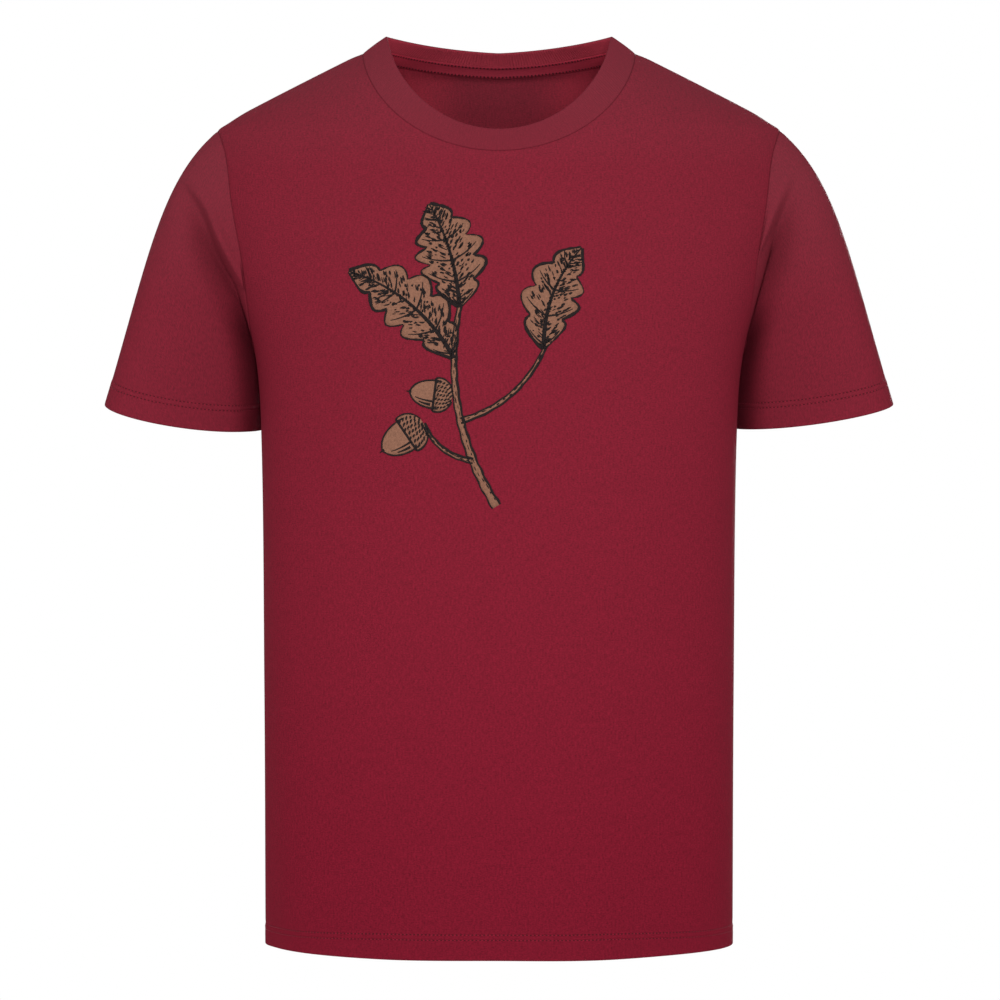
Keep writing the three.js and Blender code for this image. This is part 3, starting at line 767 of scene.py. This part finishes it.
def make_rib(name):
    ribs = round(even_turns(RIB_STEPS)[1] / RIB_PITCH)
    angle, length = even_turns(ribs * RIB_STEPS)
    seam, rise, width, normal, at_seam = rib_frame(angle)
    column = np.arange(len(angle))
    ridge = RIB_RELIEF * (np.cos(2 * math.pi * column / RIB_STEPS) - 1) / 2
    ridge *= 1 - RIB_FLATTER * (1 + np.sin(angle))
    radius = RIB_FOLD / 2
    straight = width - radius
    rows = []
    heights = []

    def add_row(up, out, relief):
        outward = own_normal(normal, at_seam, up)
        rows.append(seam + rise * up[:, None] + outward * (out + relief)[:, None])
        heights.append(up)

    bellies = RIB_BELLY * 4 * RIB_SHARES * (1 - RIB_SHARES)
    for share, belly in zip(RIB_SHARES, bellies):
        up = share * straight
        add_row(up, belly - SEAM_DIP * bell(up, 0, SEAM_ROLL), ridge * smoothstep(up, 0, RIB_PINCH))
    for turn in FOLD_TURNS:
        add_row(straight + radius * math.sin(turn), radius * (math.cos(turn) - 1), ridge * math.cos(turn))
    for share, belly in zip(RIB_SHARES[::-1], bellies[::-1]):
        add_row(share * straight, belly - RIB_FOLD, -ridge)
    heights = np.stack(heights)
    uv = np.stack(np.broadcast_arrays(column / len(angle) * length, heights), axis=-1)
    # Painted light on the inside of the rib, behind the neck
    inside = np.concatenate([FOLD_TURNS, np.full(len(RIB_SHARES), math.pi)])
    turned_in = smoothstep(inside, math.pi / 2, math.pi)
    painted_light = np.zeros(heights.shape)
    painted_light[len(RIB_SHARES) :] = turned_in[:, None] * painted_neck_light(angle, RIB_PAINTED_LIGHT, RIB_CORNER_PAINTED_LIGHT)
    # Painted shade beside the rib's seam
    shades = {"seam": painted_seam_shade(heights), "inner": painted_light}
    return closed_strip(name, np.stack(rows), uv, ring=True, round_length=length, **shades)


BACK_NECK_TURNS = math.pi * np.linspace(0.04, 0.96, 281)


def back_neck_line(below, inset):
    """Line inside the back neck, that far below its seam or above it on the rib, with inward directions."""
    seam, rise, width, normal, at_seam = rib_frame(-BACK_NECK_TURNS)
    below = below - TAPE_SPREAD * (width - width.min())
    up = (-below).clip(0)
    distance, z = neck_seam(BACK, np.arcsin(np.sin(BACK_NECK_TURNS)))
    signed = distance * np.where(BACK_NECK_TURNS > math.pi / 2, -1, 1)
    on_panel = body_point(BACK, signed, z - below.clip(0))
    on_rib = (below < 0)[:, None]
    points = np.where(on_rib, seam + rise * up[:, None], on_panel)
    outward = np.where(on_rib, own_normal(normal, at_seam, up), body_normal(BACK, on_panel))
    return points - outward * inset, -outward


def make_tape(name):
    outside = JERSEY + TAPE_CLEARANCE
    lines = np.array(TAPE_LINES) - TAPE_RISE
    hidden, shown = (
        [back_neck_line(below, inset)[0] for below in lines] for inset in (outside, outside + TAPE_THICKNESS)
    )
    for end in (0, -1):
        shown[end] = (shown[end] * 2 + hidden[end]) / 3
    rows = np.stack(hidden + shown[::-1])
    heights = np.concatenate([lines, lines[::-1]])[:, None]
    uv = np.stack(np.broadcast_arrays(gone_along(rows[0]), heights), axis=-1)
    # Painted light on the tape, more at the neck's corners
    painted_light = np.tile(painted_neck_light(-BACK_NECK_TURNS, TAPE_PAINTED_LIGHT, CORNER_PAINTED_LIGHT), (len(rows), 1))
    return closed_strip(name, rows, uv, inner=painted_light)


# Stitching

THREAD_STATIONS = np.linspace(-0.5, 0.5, 5)
THREAD_SIDES = 6
HOLE_SIDES = 8
LOOK_AHEAD = 0.2


def stitch_spacing(points):
    """Number of stitches on a line, and their even spacing."""
    length = gone_along(points)[-1]
    count = int(length / STITCH_PITCH)
    return count, length / count


def line_frame(points, normals, where):
    """Points at distances along a line, with outward, onward and sideways directions."""
    gone = gone_along(points)

    def at(distances, table):
        return np.stack([np.interp(distances, gone, values) for values in table.T], axis=-1)

    up = unit(at(where, normals))
    ahead = unit(at(where + LOOK_AHEAD, points) - at(where - LOOK_AHEAD, points))
    return at(where, points), up, ahead, np.cross(ahead, up)


def ring_turns(sides):
    return 2 * math.pi * np.arange(sides) / sides


def copied(block, faces):
    """Points and faces of a small mesh that is repeated, one row of the block for each copy."""
    count = len(block)
    points = block.reshape(-1, 3)
    size = len(points) // count
    return points, [tuple(i + n * size for i in face) for n in range(count) for face in faces]


def stitch_threads(points, normals):
    """Short threads along a line, sunk in at both ends: points and faces."""
    count, spacing = stitch_spacing(points)
    where = (np.arange(count)[:, None] + 0.5) * spacing + THREAD_STATIONS * STITCH_LENGTH
    middle, up, _, across = (values[:, :, None] for values in line_frame(points, normals, where))
    swell = np.sqrt(1 - THREAD_TAPER * (2 * THREAD_STATIONS) ** 2)[:, None, None]
    ring = ring_turns(THREAD_SIDES)[:, None]
    rise = THREAD / 2 * swell * np.sin(ring) + THREAD_RISE - THREAD_SINK * (1 - swell)
    block = middle + THREAD / 2 * swell * np.cos(ring) * across + rise * up
    width = THREAD_SIDES + 1
    quads = grid_quads(len(THREAD_STATIONS), width)
    faces = (quads // width * THREAD_SIDES + quads % width % THREAD_SIDES).tolist()
    last = (len(THREAD_STATIONS) - 1) * THREAD_SIDES
    faces += [range(THREAD_SIDES)[::-1], range(last, last + THREAD_SIDES)]
    return copied(block, faces)


def needle_holes(points, normals):
    """Small dents where the needle went through, as flat lenses of painted shade in the cloth: points and
    faces.
    """
    count, spacing = stitch_spacing(points)
    frames = line_frame(points, normals, np.arange(1, count) * spacing)
    middle, up, ahead, across = (values[:, None] for values in frames)
    ring = ring_turns(HOLE_SIDES)[:, None]
    rim = middle + HOLE_LENGTH / 2 * np.cos(ring) * ahead + HOLE / 2 * np.sin(ring) * across + HOLE_RIM * up
    block = np.concatenate([rim, middle + HOLE_TOP * up, middle - HOLE_BOTTOM * up], axis=1)
    faces = []
    for i in range(HOLE_SIDES):
        j = (i + 1) % HOLE_SIDES
        faces += [(i, j, HOLE_SIDES), (j, i, HOLE_SIDES + 1)]
    return copied(block, faces)


def make_stitching(name, lines):
    """One object of thread and needle holes along several lines, each a pair of points and normals."""
    points = []
    faces = []
    kinds = []
    offset = 0
    for kind, builder in enumerate((stitch_threads, needle_holes)):
        for line in lines:
            more_points, more_faces = builder(*line)
            points.append(more_points)
            faces += [tuple(i + offset for i in face) for face in more_faces]
            kinds += [kind] * len(more_faces)
            offset += len(more_points)
    thing = make_object(name, np.concatenate(points), faces)
    paint(thing, kinds, THREAD_MATERIAL, HOLE_MATERIAL)
    return thing


def hem_line(face, height):
    """Stitch line on one panel's hem, with outward normals."""
    z = np.full(700, HEM + height)
    girth = quarter_girth(face, HEM + height)[0]
    distance = np.linspace(-girth, girth, len(z))
    base = body_point(face, distance, z)
    normal = body_normal(face, base)
    relief = drape(face, distance, z) + hem_relief(z - HEM, HEM_ROWS)
    base[:, 2] = settled(distance, z)
    return base + normal * relief[:, None], normal


def cuff_line(side, height):
    """Stitch line round a cuff, with outward normals."""
    turns = np.linspace(0, 2 * math.pi, 361)[:-1]
    fine, gone = sleeve_table(turns, side, 0.5)
    share = shares_at(gone[-1:] - height, fine, gone)
    points = sleeve_points(turns, share + np.array([[-0.01], [0], [0.01]]), side)
    normal = sleeve_normals(points)[1]
    line = points[1] + normal * hem_relief(height, CUFF_ROWS)
    return [np.concatenate([values, values[:1]]) * [side, 1, 1] for values in (line, normal)]


# Chest print: an oak sprig stamped in tan and black ink

PRINT_CENTRE = np.array([-24.0, -246.0])  # across the chest and up
INK = 0.1  # thickness of a layer of ink
TAN = 0
BLACK = 1
INK_LIFT = {TAN: 0.06, BLACK: 0.2}  # how far each layer lies off the cloth
FLECK_SPACE = 8  # area of a leaf for each fleck of shade
FLECK_SHAPE = np.array([0.35, 1.0, 0.85, 0.3])  # widths along a fleck
LOBE_STEPS = 16
LOBE_DEPTH = 0.44
LEAF_LEAN = 0.34  # how far the lobes point forwards
LEAF_COLUMNS = 11
ACORN_COLUMNS = 9
CHANCE = np.random.default_rng(11)


def chest_points(places, lift):
    """Points on the draped chest at places across and up, that far off the cloth."""
    x, z = places.reshape(-1, 2).T
    distance = distance_at(FRONT, np.abs(x), z) * np.where(x < 0, -1, 1)
    base = body_point(FRONT, distance, z)
    normal = body_normal(FRONT, base)
    points = base + normal * (drape(FRONT, distance, z) + lift)[:, None]
    return points.reshape(places.shape[:-1] + (3,))


def turned_left(directions):
    """Directions across and up, turned by a quarter turn."""
    return np.stack([-directions[..., 1], directions[..., 0]], axis=-1)


class Stamp:
    """Thin closed patches of ink laid on the chest, gathered into one object."""

    def __init__(self):
        self.points = []
        self.faces = []
        self.inks = []
        self.count = 0

    def patch(self, places, ink):
        """A patch from a grid of places across and up."""
        places = np.asarray(places) + PRINT_CENTRE
        rows, columns = places.shape[:2]
        size = rows * columns
        top, bottom = (chest_points(places, INK_LIFT[ink] + up).reshape(-1, 3) for up in (INK, 0))
        quads = grid_quads(rows, columns)
        index = np.arange(size).reshape(rows, columns)
        rim = np.concatenate([index[0], index[1:, -1], index[-1, -2::-1], index[-2:0:-1, 0]])
        following = np.roll(rim, -1)
        sides = np.stack([rim, rim + size, following + size, following], axis=1)
        faces = np.concatenate([quads, quads[:, ::-1] + size, sides])
        first = top[quads[0]]
        if np.cross(first[1] - first[0], first[2] - first[0])[1] > 0:
            faces = faces[:, ::-1]
        self.points += [top, bottom]
        self.faces += (faces + self.count).tolist()
        self.inks += [ink] * len(faces)
        self.count += 2 * size

    def ribbon(self, line, half_width, ink):
        """A stroke along a line, as wide at each point as stated."""
        aside = turned_left(unit(np.gradient(line, axis=0))) * half_width[:, None]
        self.patch(np.stack([line - aside, line, line + aside], axis=1), ink)

    def fleck(self, place, ahead, length, width):
        """A small uneven mark of black ink."""
        t = np.linspace(-0.5, 0.5, len(FLECK_SHAPE))
        line = place + np.outer(t * length, ahead)
        line += CHANCE.normal(0, width * 0.12, line.shape)
        self.ribbon(line, width / 2 * FLECK_SHAPE, BLACK)

    def finish(self, name):
        thing = make_object(name, np.concatenate(self.points), self.faces)
        paint(thing, self.inks, TAN_INK, BLACK_INK)
        return thing


def bow(start, end, sag, count):
    """Points along a gentle arc from start to end."""
    t = np.linspace(0, 1, count)
    chord = np.subtract(end, start)
    return start + np.outer(t, chord) + np.outer(4 * t * (1 - t) * sag, turned_left(chord))


def stamp_branch(stamp, line, thick, thin):
    """A knotty branch, with an uneven edge on both sides and flecks of bark."""
    width = np.linspace(thick, thin, len(line)) * (1 + 0.12 * np.sin(np.arange(len(line)) * 1.3))
    aside = unit(turned_left(np.gradient(line, axis=0))) * width[:, None]
    stamp.ribbon(line, width, TAN)
    stamp.ribbon(line + aside, 0.45 + 0.3 * CHANCE.random(len(line)), BLACK)
    stamp.ribbon(line - aside, 0.7 + 0.4 * CHANCE.random(len(line)), BLACK)
    for k in range(2, len(line) - 2, 2):
        ahead = unit(line[k + 1] - line[k - 1])
        place = line[k] + aside[k] * CHANCE.uniform(-0.6, 0.4)
        stamp.fleck(place, ahead, CHANCE.uniform(2, 5), CHANCE.uniform(0.5, 1.2))


def stamp_leaf(stamp, stalk, tip, half_width, lobes, sag):
    """A lobed leaf from stalk to tip, with veins, a rubbed outline and flecks of shade."""
    count = LOBE_STEPS * lobes + 1
    t = np.linspace(0, 1, count)
    middle = bow(stalk, tip, sag, count)
    ahead = unit(np.gradient(middle, axis=0))
    aside = turned_left(ahead)
    body = np.sin(math.pi * (0.006 + 0.988 * t) ** 0.85) ** 0.8
    scallop = 1 - LOBE_DEPTH + LOBE_DEPTH * np.abs(np.sin(math.pi * (lobes * t + 0.02))) ** 0.7
    width = half_width * body * scallop + 0.4
    across = np.linspace(-1, 1, LEAF_COLUMNS)
    places = middle[:, None] + np.multiply.outer(width, across)[..., None] * aside[:, None]
    lean = LEAF_LEAN * np.multiply.outer(width * (1 - t), np.abs(across))
    places += lean[..., None] * ahead[:, None]
    stamp.patch(places, TAN)
    stamp.ribbon(middle, 1.8 - 1.3 * t, BLACK)
    for edge, sign in ((places[:, 0], -1), (places[:, -1], 1)):
        wear_and_painted_light = 0.75 + 0.4 * np.sin(9 * t + sign) + CHANCE.uniform(-0.2, 0.35, count)
        stamp.ribbon(edge, np.clip(wear_and_painted_light, 0.3, 1.6), BLACK)
    for lobe in range(lobes):
        root, end = (int((lobe + share) / lobes * (count - 1)) for share in (0.22, 0.52))
        for column, sign in ((1, -1), (LEAF_COLUMNS - 2, 1)):
            vein = bow(middle[root], places[end, column], 0.06 * sign, 9)
            stamp.ribbon(vein, np.linspace(0.8, 0.25, len(vein)), BLACK)
    length = np.linalg.norm(middle[-1] - middle[0])
    for _ in range(int(length * half_width / FLECK_SPACE)):
        row = CHANCE.integers(2, count - 3)
        column = CHANCE.integers(2, LEAF_COLUMNS - 2)
        towards = unit(aside[row] * (1 if column > LEAF_COLUMNS // 2 else -1) + 0.9 * ahead[row])
        place = places[row, column] + CHANCE.normal(0, 0.8, 2)
        stamp.fleck(place, towards, CHANCE.uniform(1.4, 5.5), CHANCE.uniform(0.7, 1.9))


def stamp_acorn(stamp, foot, ahead, length):
    """An acorn from its stalk end along a direction: nut, cup and hatching."""
    ahead = unit(np.array(ahead))
    aside = turned_left(ahead)
    across = np.linspace(-1, 1, ACORN_COLUMNS)

    def body(t, half_width, widest, reach, blunt):
        width = half_width * length * np.sqrt(np.clip(1 - ((t - widest) / reach) ** 2, blunt, 1))
        middle = foot + np.outer(t * length, ahead)
        return middle[:, None] + np.multiply.outer(width, across)[..., None] * aside

    nut = body(np.linspace(0.3, 1.0, 16), half_width=0.33, widest=0.42, reach=0.56, blunt=0.004)
    cup = body(np.linspace(0.0, 0.42, 12), half_width=0.4, widest=0.33, reach=0.345, blunt=0.02)
    stamp.patch(nut, TAN)
    stamp.patch(cup, TAN)
    for places in (nut, cup):
        for column in (0, -1):
            stamp.ribbon(places[:, column], 0.5 + 0.3 * CHANCE.random(len(places)), BLACK)
    stamp.ribbon(cup[-1], np.full(ACORN_COLUMNS, 0.9), BLACK)
    for shading, thick, thin in ((nut[2:-3, 6], 0.9, 0.3), (nut[4:-5, 7], 1.1, 0.4)):
        stamp.ribbon(shading, np.linspace(thick, thin, len(shading)), BLACK)
    for row in range(1, len(cup) - 1):
        for column in range(1 + row % 2, ACORN_COLUMNS - 1, 2):
            stamp.fleck(cup[row, column], unit(ahead + aside), 0.085 * length, 0.045 * length)
    point = foot + np.outer([length - 1.5, length, length + 2.5], ahead)
    stamp.ribbon(point, np.array([1.0, 0.7, 0.3]), BLACK)


def make_print(name):
    stamp = Stamp()
    stem = bow((22, -116), (-6, 40), sag=0.1, count=60)
    twig = bow(stem[26], (60, 8), sag=-0.12, count=30)
    stalk = bow(stem[14], (-34, -52), sag=0.14, count=24)
    stamp_branch(stamp, stem, thick=3.4, thin=1.5)
    stamp_branch(stamp, twig, thick=1.9, thin=1.1)
    stamp_branch(stamp, stalk, thick=1.7, thin=1.1)
    stamp_leaf(stamp, stem[-2], tip=(-30, 118), half_width=27, lobes=5, sag=-0.06)
    stamp_leaf(stamp, stem[44], tip=(-92, 66), half_width=24, lobes=5, sag=-0.1)
    stamp_leaf(stamp, twig[-2], tip=(88, 84), half_width=23, lobes=4, sag=0.1)
    stamp_acorn(stamp, stalk[-1], ahead=(-0.75, -0.5), length=38)
    stamp_acorn(stamp, stem[33] + [-3, 0], ahead=(-0.93, 0.12), length=33)
    return stamp.finish(name)


# Materials

BURGUNDY = (0.079, 0.0031, 0.0088)
LOOP_WIDTH = 0.95 * MM
LOOP_HEIGHT = 0.8 * MM
# Painted sheen: pale grey added to the colour, growing with height over the chest and on the shoulders
PAINTED_SHEEN_TINT = (0.4, 1.0, 1.0, 1)
CHEST_PAINTED_SHEEN = 0.0026
CHEST_RANGE = (-0.62, -0.08)  # heights between which it sets in
SHOULDER_PAINTED_SHEEN = 0.0026
# Painted shade along the seams, where the cloth rolls in
PAINTED_SEAM_SHADE = (0.62, 0.57, 0.59, 1)
PAINTED_INSIDE_LIGHT = (4.0, 2.8, 3.0, 1)  # light painted on the inside of the neck


def new_material(name):
    material = bpy.data.materials.new(name)
    material.use_nodes = True
    tree = material.node_tree
    return material, tree, tree.nodes["Principled BSDF"]


def connect(tree, target, inputs):
    """Sets a node's inputs, each to a value or to another node's output."""
    for key, value in inputs.items():
        if isinstance(value, bpy.types.NodeSocket):
            tree.links.new(value, target.inputs[key])
        else:
            target.inputs[key].default_value = value


def node(tree, kind, inputs, **settings):
    made = tree.nodes.new(kind)
    for key, value in settings.items():
        setattr(made, key, value)
    connect(tree, made, inputs)
    return made.outputs


def math_node(tree, operation, *values):
    return node(tree, "ShaderNodeMath", dict(enumerate(values)), operation=operation)[0]


def weighted(tree, *terms, plus=0.0):
    """Sum of the terms, each an output and its weight."""
    total = plus
    for output, weight in terms:
        total = math_node(tree, "MULTIPLY_ADD", output, weight, total)
    return total


def mixed(tree, blend, share, first, second):
    inputs = {0: share, 6: first, 7: second}
    return node(tree, "ShaderNodeMix", inputs, data_type="RGBA", blend_type=blend)[2]


def shaded(colour, tone):
    return tuple(channel * tone for channel in colour)


def two_tone(tree, share, colour, tones, spread=(0, 1)):
    """Colour between two tones of it, as the share goes through the spread."""
    ramp = tree.nodes.new("ShaderNodeValToRGB")
    connect(tree, ramp, {"Fac": share})
    for element, tone, position in zip(ramp.color_ramp.elements, tones, spread):
        element.position = position
        element.color = (*shaded(colour, tone), 1)
    return ramp.outputs["Color"]


def object_place(tree):
    return node(tree, "ShaderNodeTexCoord", {})["Object"]


def noise(tree, place, scale, detail=2.0):
    return node(tree, "ShaderNodeTexNoise", {"Vector": place, "Scale": scale, "Detail": detail})["Fac"]


def bumped(tree, height, strength, distance):
    inputs = {"Height": height, "Strength": strength, "Distance": distance}
    return node(tree, "ShaderNodeBump", inputs)["Normal"]


def jersey_material(name, colour, contrast, painted_sheen, shoulders=(-0.1, -0.03)):
    """Single jersey: columns of loops and uneven yarn, with a painted sheen that grows with height,
    strongest on the shoulders.
    """
    material, tree, shader = new_material(name)
    uv = node(tree, "ShaderNodeUVMap", {}, uv_map="cloth")["UV"]

    def mottled(stretch, scale, detail=2.0):
        mapped = node(tree, "ShaderNodeMapping", {"Vector": uv, "Scale": (*stretch, 1)})[0]
        return noise(tree, mapped, scale, detail)

    def rising(low, high):
        height = node(tree, "ShaderNodeSeparateXYZ", {0: object_place(tree)})["Z"]
        return node(tree, "ShaderNodeMapRange", {"Value": height, "From Min": low, "From Max": high})[0]

    parts = node(tree, "ShaderNodeSeparateXYZ", {0: uv})
    across = math_node(tree, "DIVIDE", parts["X"], LOOP_WIDTH)
    up = math_node(tree, "DIVIDE", parts["Y"], LOOP_HEIGHT)
    column = math_node(tree, "PINGPONG", across, 0.5)
    slant = math_node(tree, "ADD", up, column)
    loops = math_node(tree, "SINE", math_node(tree, "MULTIPLY", slant, 2 * math.pi))
    knit = weighted(tree, (loops, 0.35), (column, 2.0))
    yarn = mottled((0.6, 1.0), 1000.0)
    wale = mottled((1.0, 0.3), 700.0)
    patch = mottled((1.0, 1.0), 45.0, detail=4.0)
    tone = weighted(tree, (yarn, 0.6), (wale, 0.34), (patch, 0.06))
    plain = two_tone(tree, tone, colour, (1 - contrast, 1 + contrast), spread=(0.3, 0.7))
    # Painted sheen, growing with height
    terms = (rising(*shoulders), SHOULDER_PAINTED_SHEEN), (rising(*CHEST_RANGE), CHEST_PAINTED_SHEEN)
    painted_sheen_colour = mixed(tree, "MULTIPLY", 1.0, weighted(tree, *terms, plus=painted_sheen), PAINTED_SHEEN_TINT)
    # Colour with the painted sheen added
    wear_and_painted_light = mixed(tree, "ADD", 1.0, plain, painted_sheen_colour)
    # Painted light on the inside of the neck, and painted shade along the seams, by point attributes
    for layer, tint in (("inner", PAINTED_INSIDE_LIGHT), ("seam", PAINTED_SEAM_SHADE)):
        share = node(tree, "ShaderNodeAttribute", {}, attribute_name=layer)["Fac"]
        wear_and_painted_light = mixed(tree, "MULTIPLY", share, wear_and_painted_light, tint)
    connect(tree, shader, {
        "Base Color": wear_and_painted_light,
        "Roughness": weighted(tree, (yarn, 0.25), plus=0.7),
        "Specular IOR Level": 0.01,
        "Normal": bumped(tree, weighted(tree, (knit, 0.5), (yarn, 1.2)), strength=0.4, distance=0.35 * MM),
    })
    return material


def grained_material(name, colour, scale, detail, spread, bump, rough, gloss):
    """Plain colour with a fine uneven grain."""
    material, tree, shader = new_material(name)
    grain = noise(tree, object_place(tree), scale, detail)
    connect(tree, shader, {
        "Base Color": two_tone(tree, grain, colour, (0.8, 1.15), spread),
        "Roughness": rough,
        "Specular IOR Level": gloss,
        "Normal": bumped(tree, grain, *bump),
    })
    return material


def ink_material(name, colour):
    """Flat screen-print ink, a little uneven where the knit shows through."""
    return grained_material(
        name, colour, scale=700.0, detail=2.0, spread=(0.3, 0.7), bump=(0.3, 0.2 * MM), rough=0.85, gloss=0.1
    )


def thread_material(name, colour):
    """Spun thread, with the grain of its twist."""
    return grained_material(
        name, colour, scale=2600.0, detail=1.0, spread=(0, 1), bump=(0.4, 0.1 * MM), rough=0.7, gloss=0.08
    )


# The fourth number of each is a base amount of painted sheen, larger on the sleeves and rib
JERSEY_MATERIAL = jersey_material("burgundy_jersey", BURGUNDY, 0.36, 0.0008)
SLEEVE_MATERIAL = jersey_material("burgundy_sleeve_jersey", BURGUNDY, 0.36, 0.002, shoulders=(-0.2, -0.1))
RIB_MATERIAL = jersey_material("burgundy_rib", shaded(BURGUNDY, 0.96), 0.2, 0.002)
# The tape is made lighter than the jersey as painted light inside the neck
TAPE_MATERIAL = jersey_material("burgundy_tape", shaded(BURGUNDY, 1.4), 0.15, 0.001)
THREAD_MATERIAL = thread_material("burgundy_thread", shaded(BURGUNDY, 1.8))
TAN_INK = ink_material("tan_ink", (0.096, 0.0435, 0.027))
BLACK_INK = ink_material("black_ink", (0.0045, 0.0026, 0.0026))
# Painted shade in the needle holes
HOLE_MATERIAL = thread_material("needle_hole_shade", shaded(BURGUNDY, 0.4))


# Pieces


def dress(piece, material, slot, *nodes):
    piece.data.materials.append(material)
    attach(piece, "root")
    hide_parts(*nodes)
    return piece


front = dress(make_panel(FRONT, "shirt_front"), JERSEY_MATERIAL, "jersey", "front_panel")
back = dress(make_panel(BACK, "shirt_back"), JERSEY_MATERIAL, "jersey", "back_panel")
left = dress(make_sleeve(LEFT, "left_sleeve"), SLEEVE_MATERIAL, "jersey", "sleeve_left")
right = dress(make_sleeve(RIGHT, "right_sleeve"), SLEEVE_MATERIAL, "jersey", "sleeve_right")
rib = dress(make_rib("rib_band"), RIB_MATERIAL, "rib", "neck_rib")
tape = dress(make_tape("back_neck_tape"), TAPE_MATERIAL, "tape", "neck_tape")

hem_lines = [hem_line(face, row) for face in (FRONT, BACK) for row in HEM_ROWS]
hem_stitching = make_stitching("hem_stitching", hem_lines)
left_stitching = make_stitching("left_cuff_stitching", [cuff_line(LEFT, row) for row in CUFF_ROWS])
right_stitching = make_stitching("right_cuff_stitching", [cuff_line(RIGHT, row) for row in CUFF_ROWS])
tape_depth = JERSEY + TAPE_CLEARANCE + TAPE_THICKNESS
tape_lines = [back_neck_line(below - TAPE_RISE, tape_depth) for below in TAPE_ROWS]
tape_stitching = make_stitching("neck_stitching", tape_lines)
chest_print = make_print("chest_print")
for piece in (hem_stitching, left_stitching, right_stitching, tape_stitching, chest_print):
    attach(piece, "root")


# Studio, in metres

FLOOR_HEIGHT = -1.0
FLOOR_RADIUS = 1.8
CAMERA_PLACE = (0.0008, -3.2, -0.357)
MIDDLE = (0, 0, -0.35)
UPPER_BELLY = (0, 0, -0.32)
POOL = math.radians(25)  # full angle of the front light's cone


def make_floor():
    material, tree, shader = new_material("pale_floor")
    grain = noise(tree, object_place(tree), 3.0)
    pale = two_tone(tree, grain, (1, 1, 1), (0.86, 0.9))
    connect(tree, shader, {"Base Color": pale, "Roughness": 0.9})
    bpy.ops.mesh.primitive_circle_add(
        vertices=96, radius=FLOOR_RADIUS, fill_type="NGON", location=(0, 0, FLOOR_HEIGHT)
    )
    floor = bpy.context.object
    floor.name = "floor"
    floor.data.materials.append(material)


def add_light(kind, name, place, target, power, **settings):
    data = bpy.data.lights.new(name, kind)
    data.energy = power
    for key, value in settings.items():
        setattr(data, key, value)
    lamp = bpy.data.objects.new(name, data)
    lamp.location = place
    lamp.rotation_euler = (Vector(target) - Vector(place)).to_track_quat("-Z", "Y").to_euler()
    bpy.context.scene.collection.objects.link(lamp)


def add_spot(name, place, target, power, angle, softness):
    add_light("SPOT", name, place, target, power, spot_size=angle, spot_blend=1.0, shadow_soft_size=softness)


def make_world():
    world = bpy.data.worlds.new("studio")
    world.use_nodes = True
    sky = world.node_tree.nodes["Background"]
    sky.inputs["Color"].default_value = (1, 1, 1, 1)
    sky.inputs["Strength"].default_value = 1.0
    bpy.context.scene.world = world


def make_camera():
    data = bpy.data.cameras.new("camera")
    data.sensor_width = 36
    data.lens = 144
    camera = bpy.data.objects.new("camera", data)
    camera.location = CAMERA_PLACE
    camera.rotation_euler = (math.pi / 2, 0, 0)
    bpy.context.scene.collection.objects.link(camera)
    bpy.context.scene.camera = camera


make_floor()
make_world()
add_light("AREA", "key", (-0.1, -2.0, 1.7), MIDDLE, 60, shape="DISK", size=1.0)
add_light("AREA", "left_side", (-2.6, -1.3, -0.35), MIDDLE, 38, shape="DISK", size=0.8)
add_light("AREA", "right_side", (2.6, -1.3, -0.35), MIDDLE, 38, shape="DISK", size=0.8)
add_spot("front", (0.12, -3.0, -0.16), UPPER_BELLY, 300, POOL, softness=0.3)
add_spot("behind", (0.8, 2.9, 0.3), MIDDLE, 480, 2 * POOL, softness=0.4)
bpy.context.scene.view_settings.view_transform = "Standard"
make_camera()
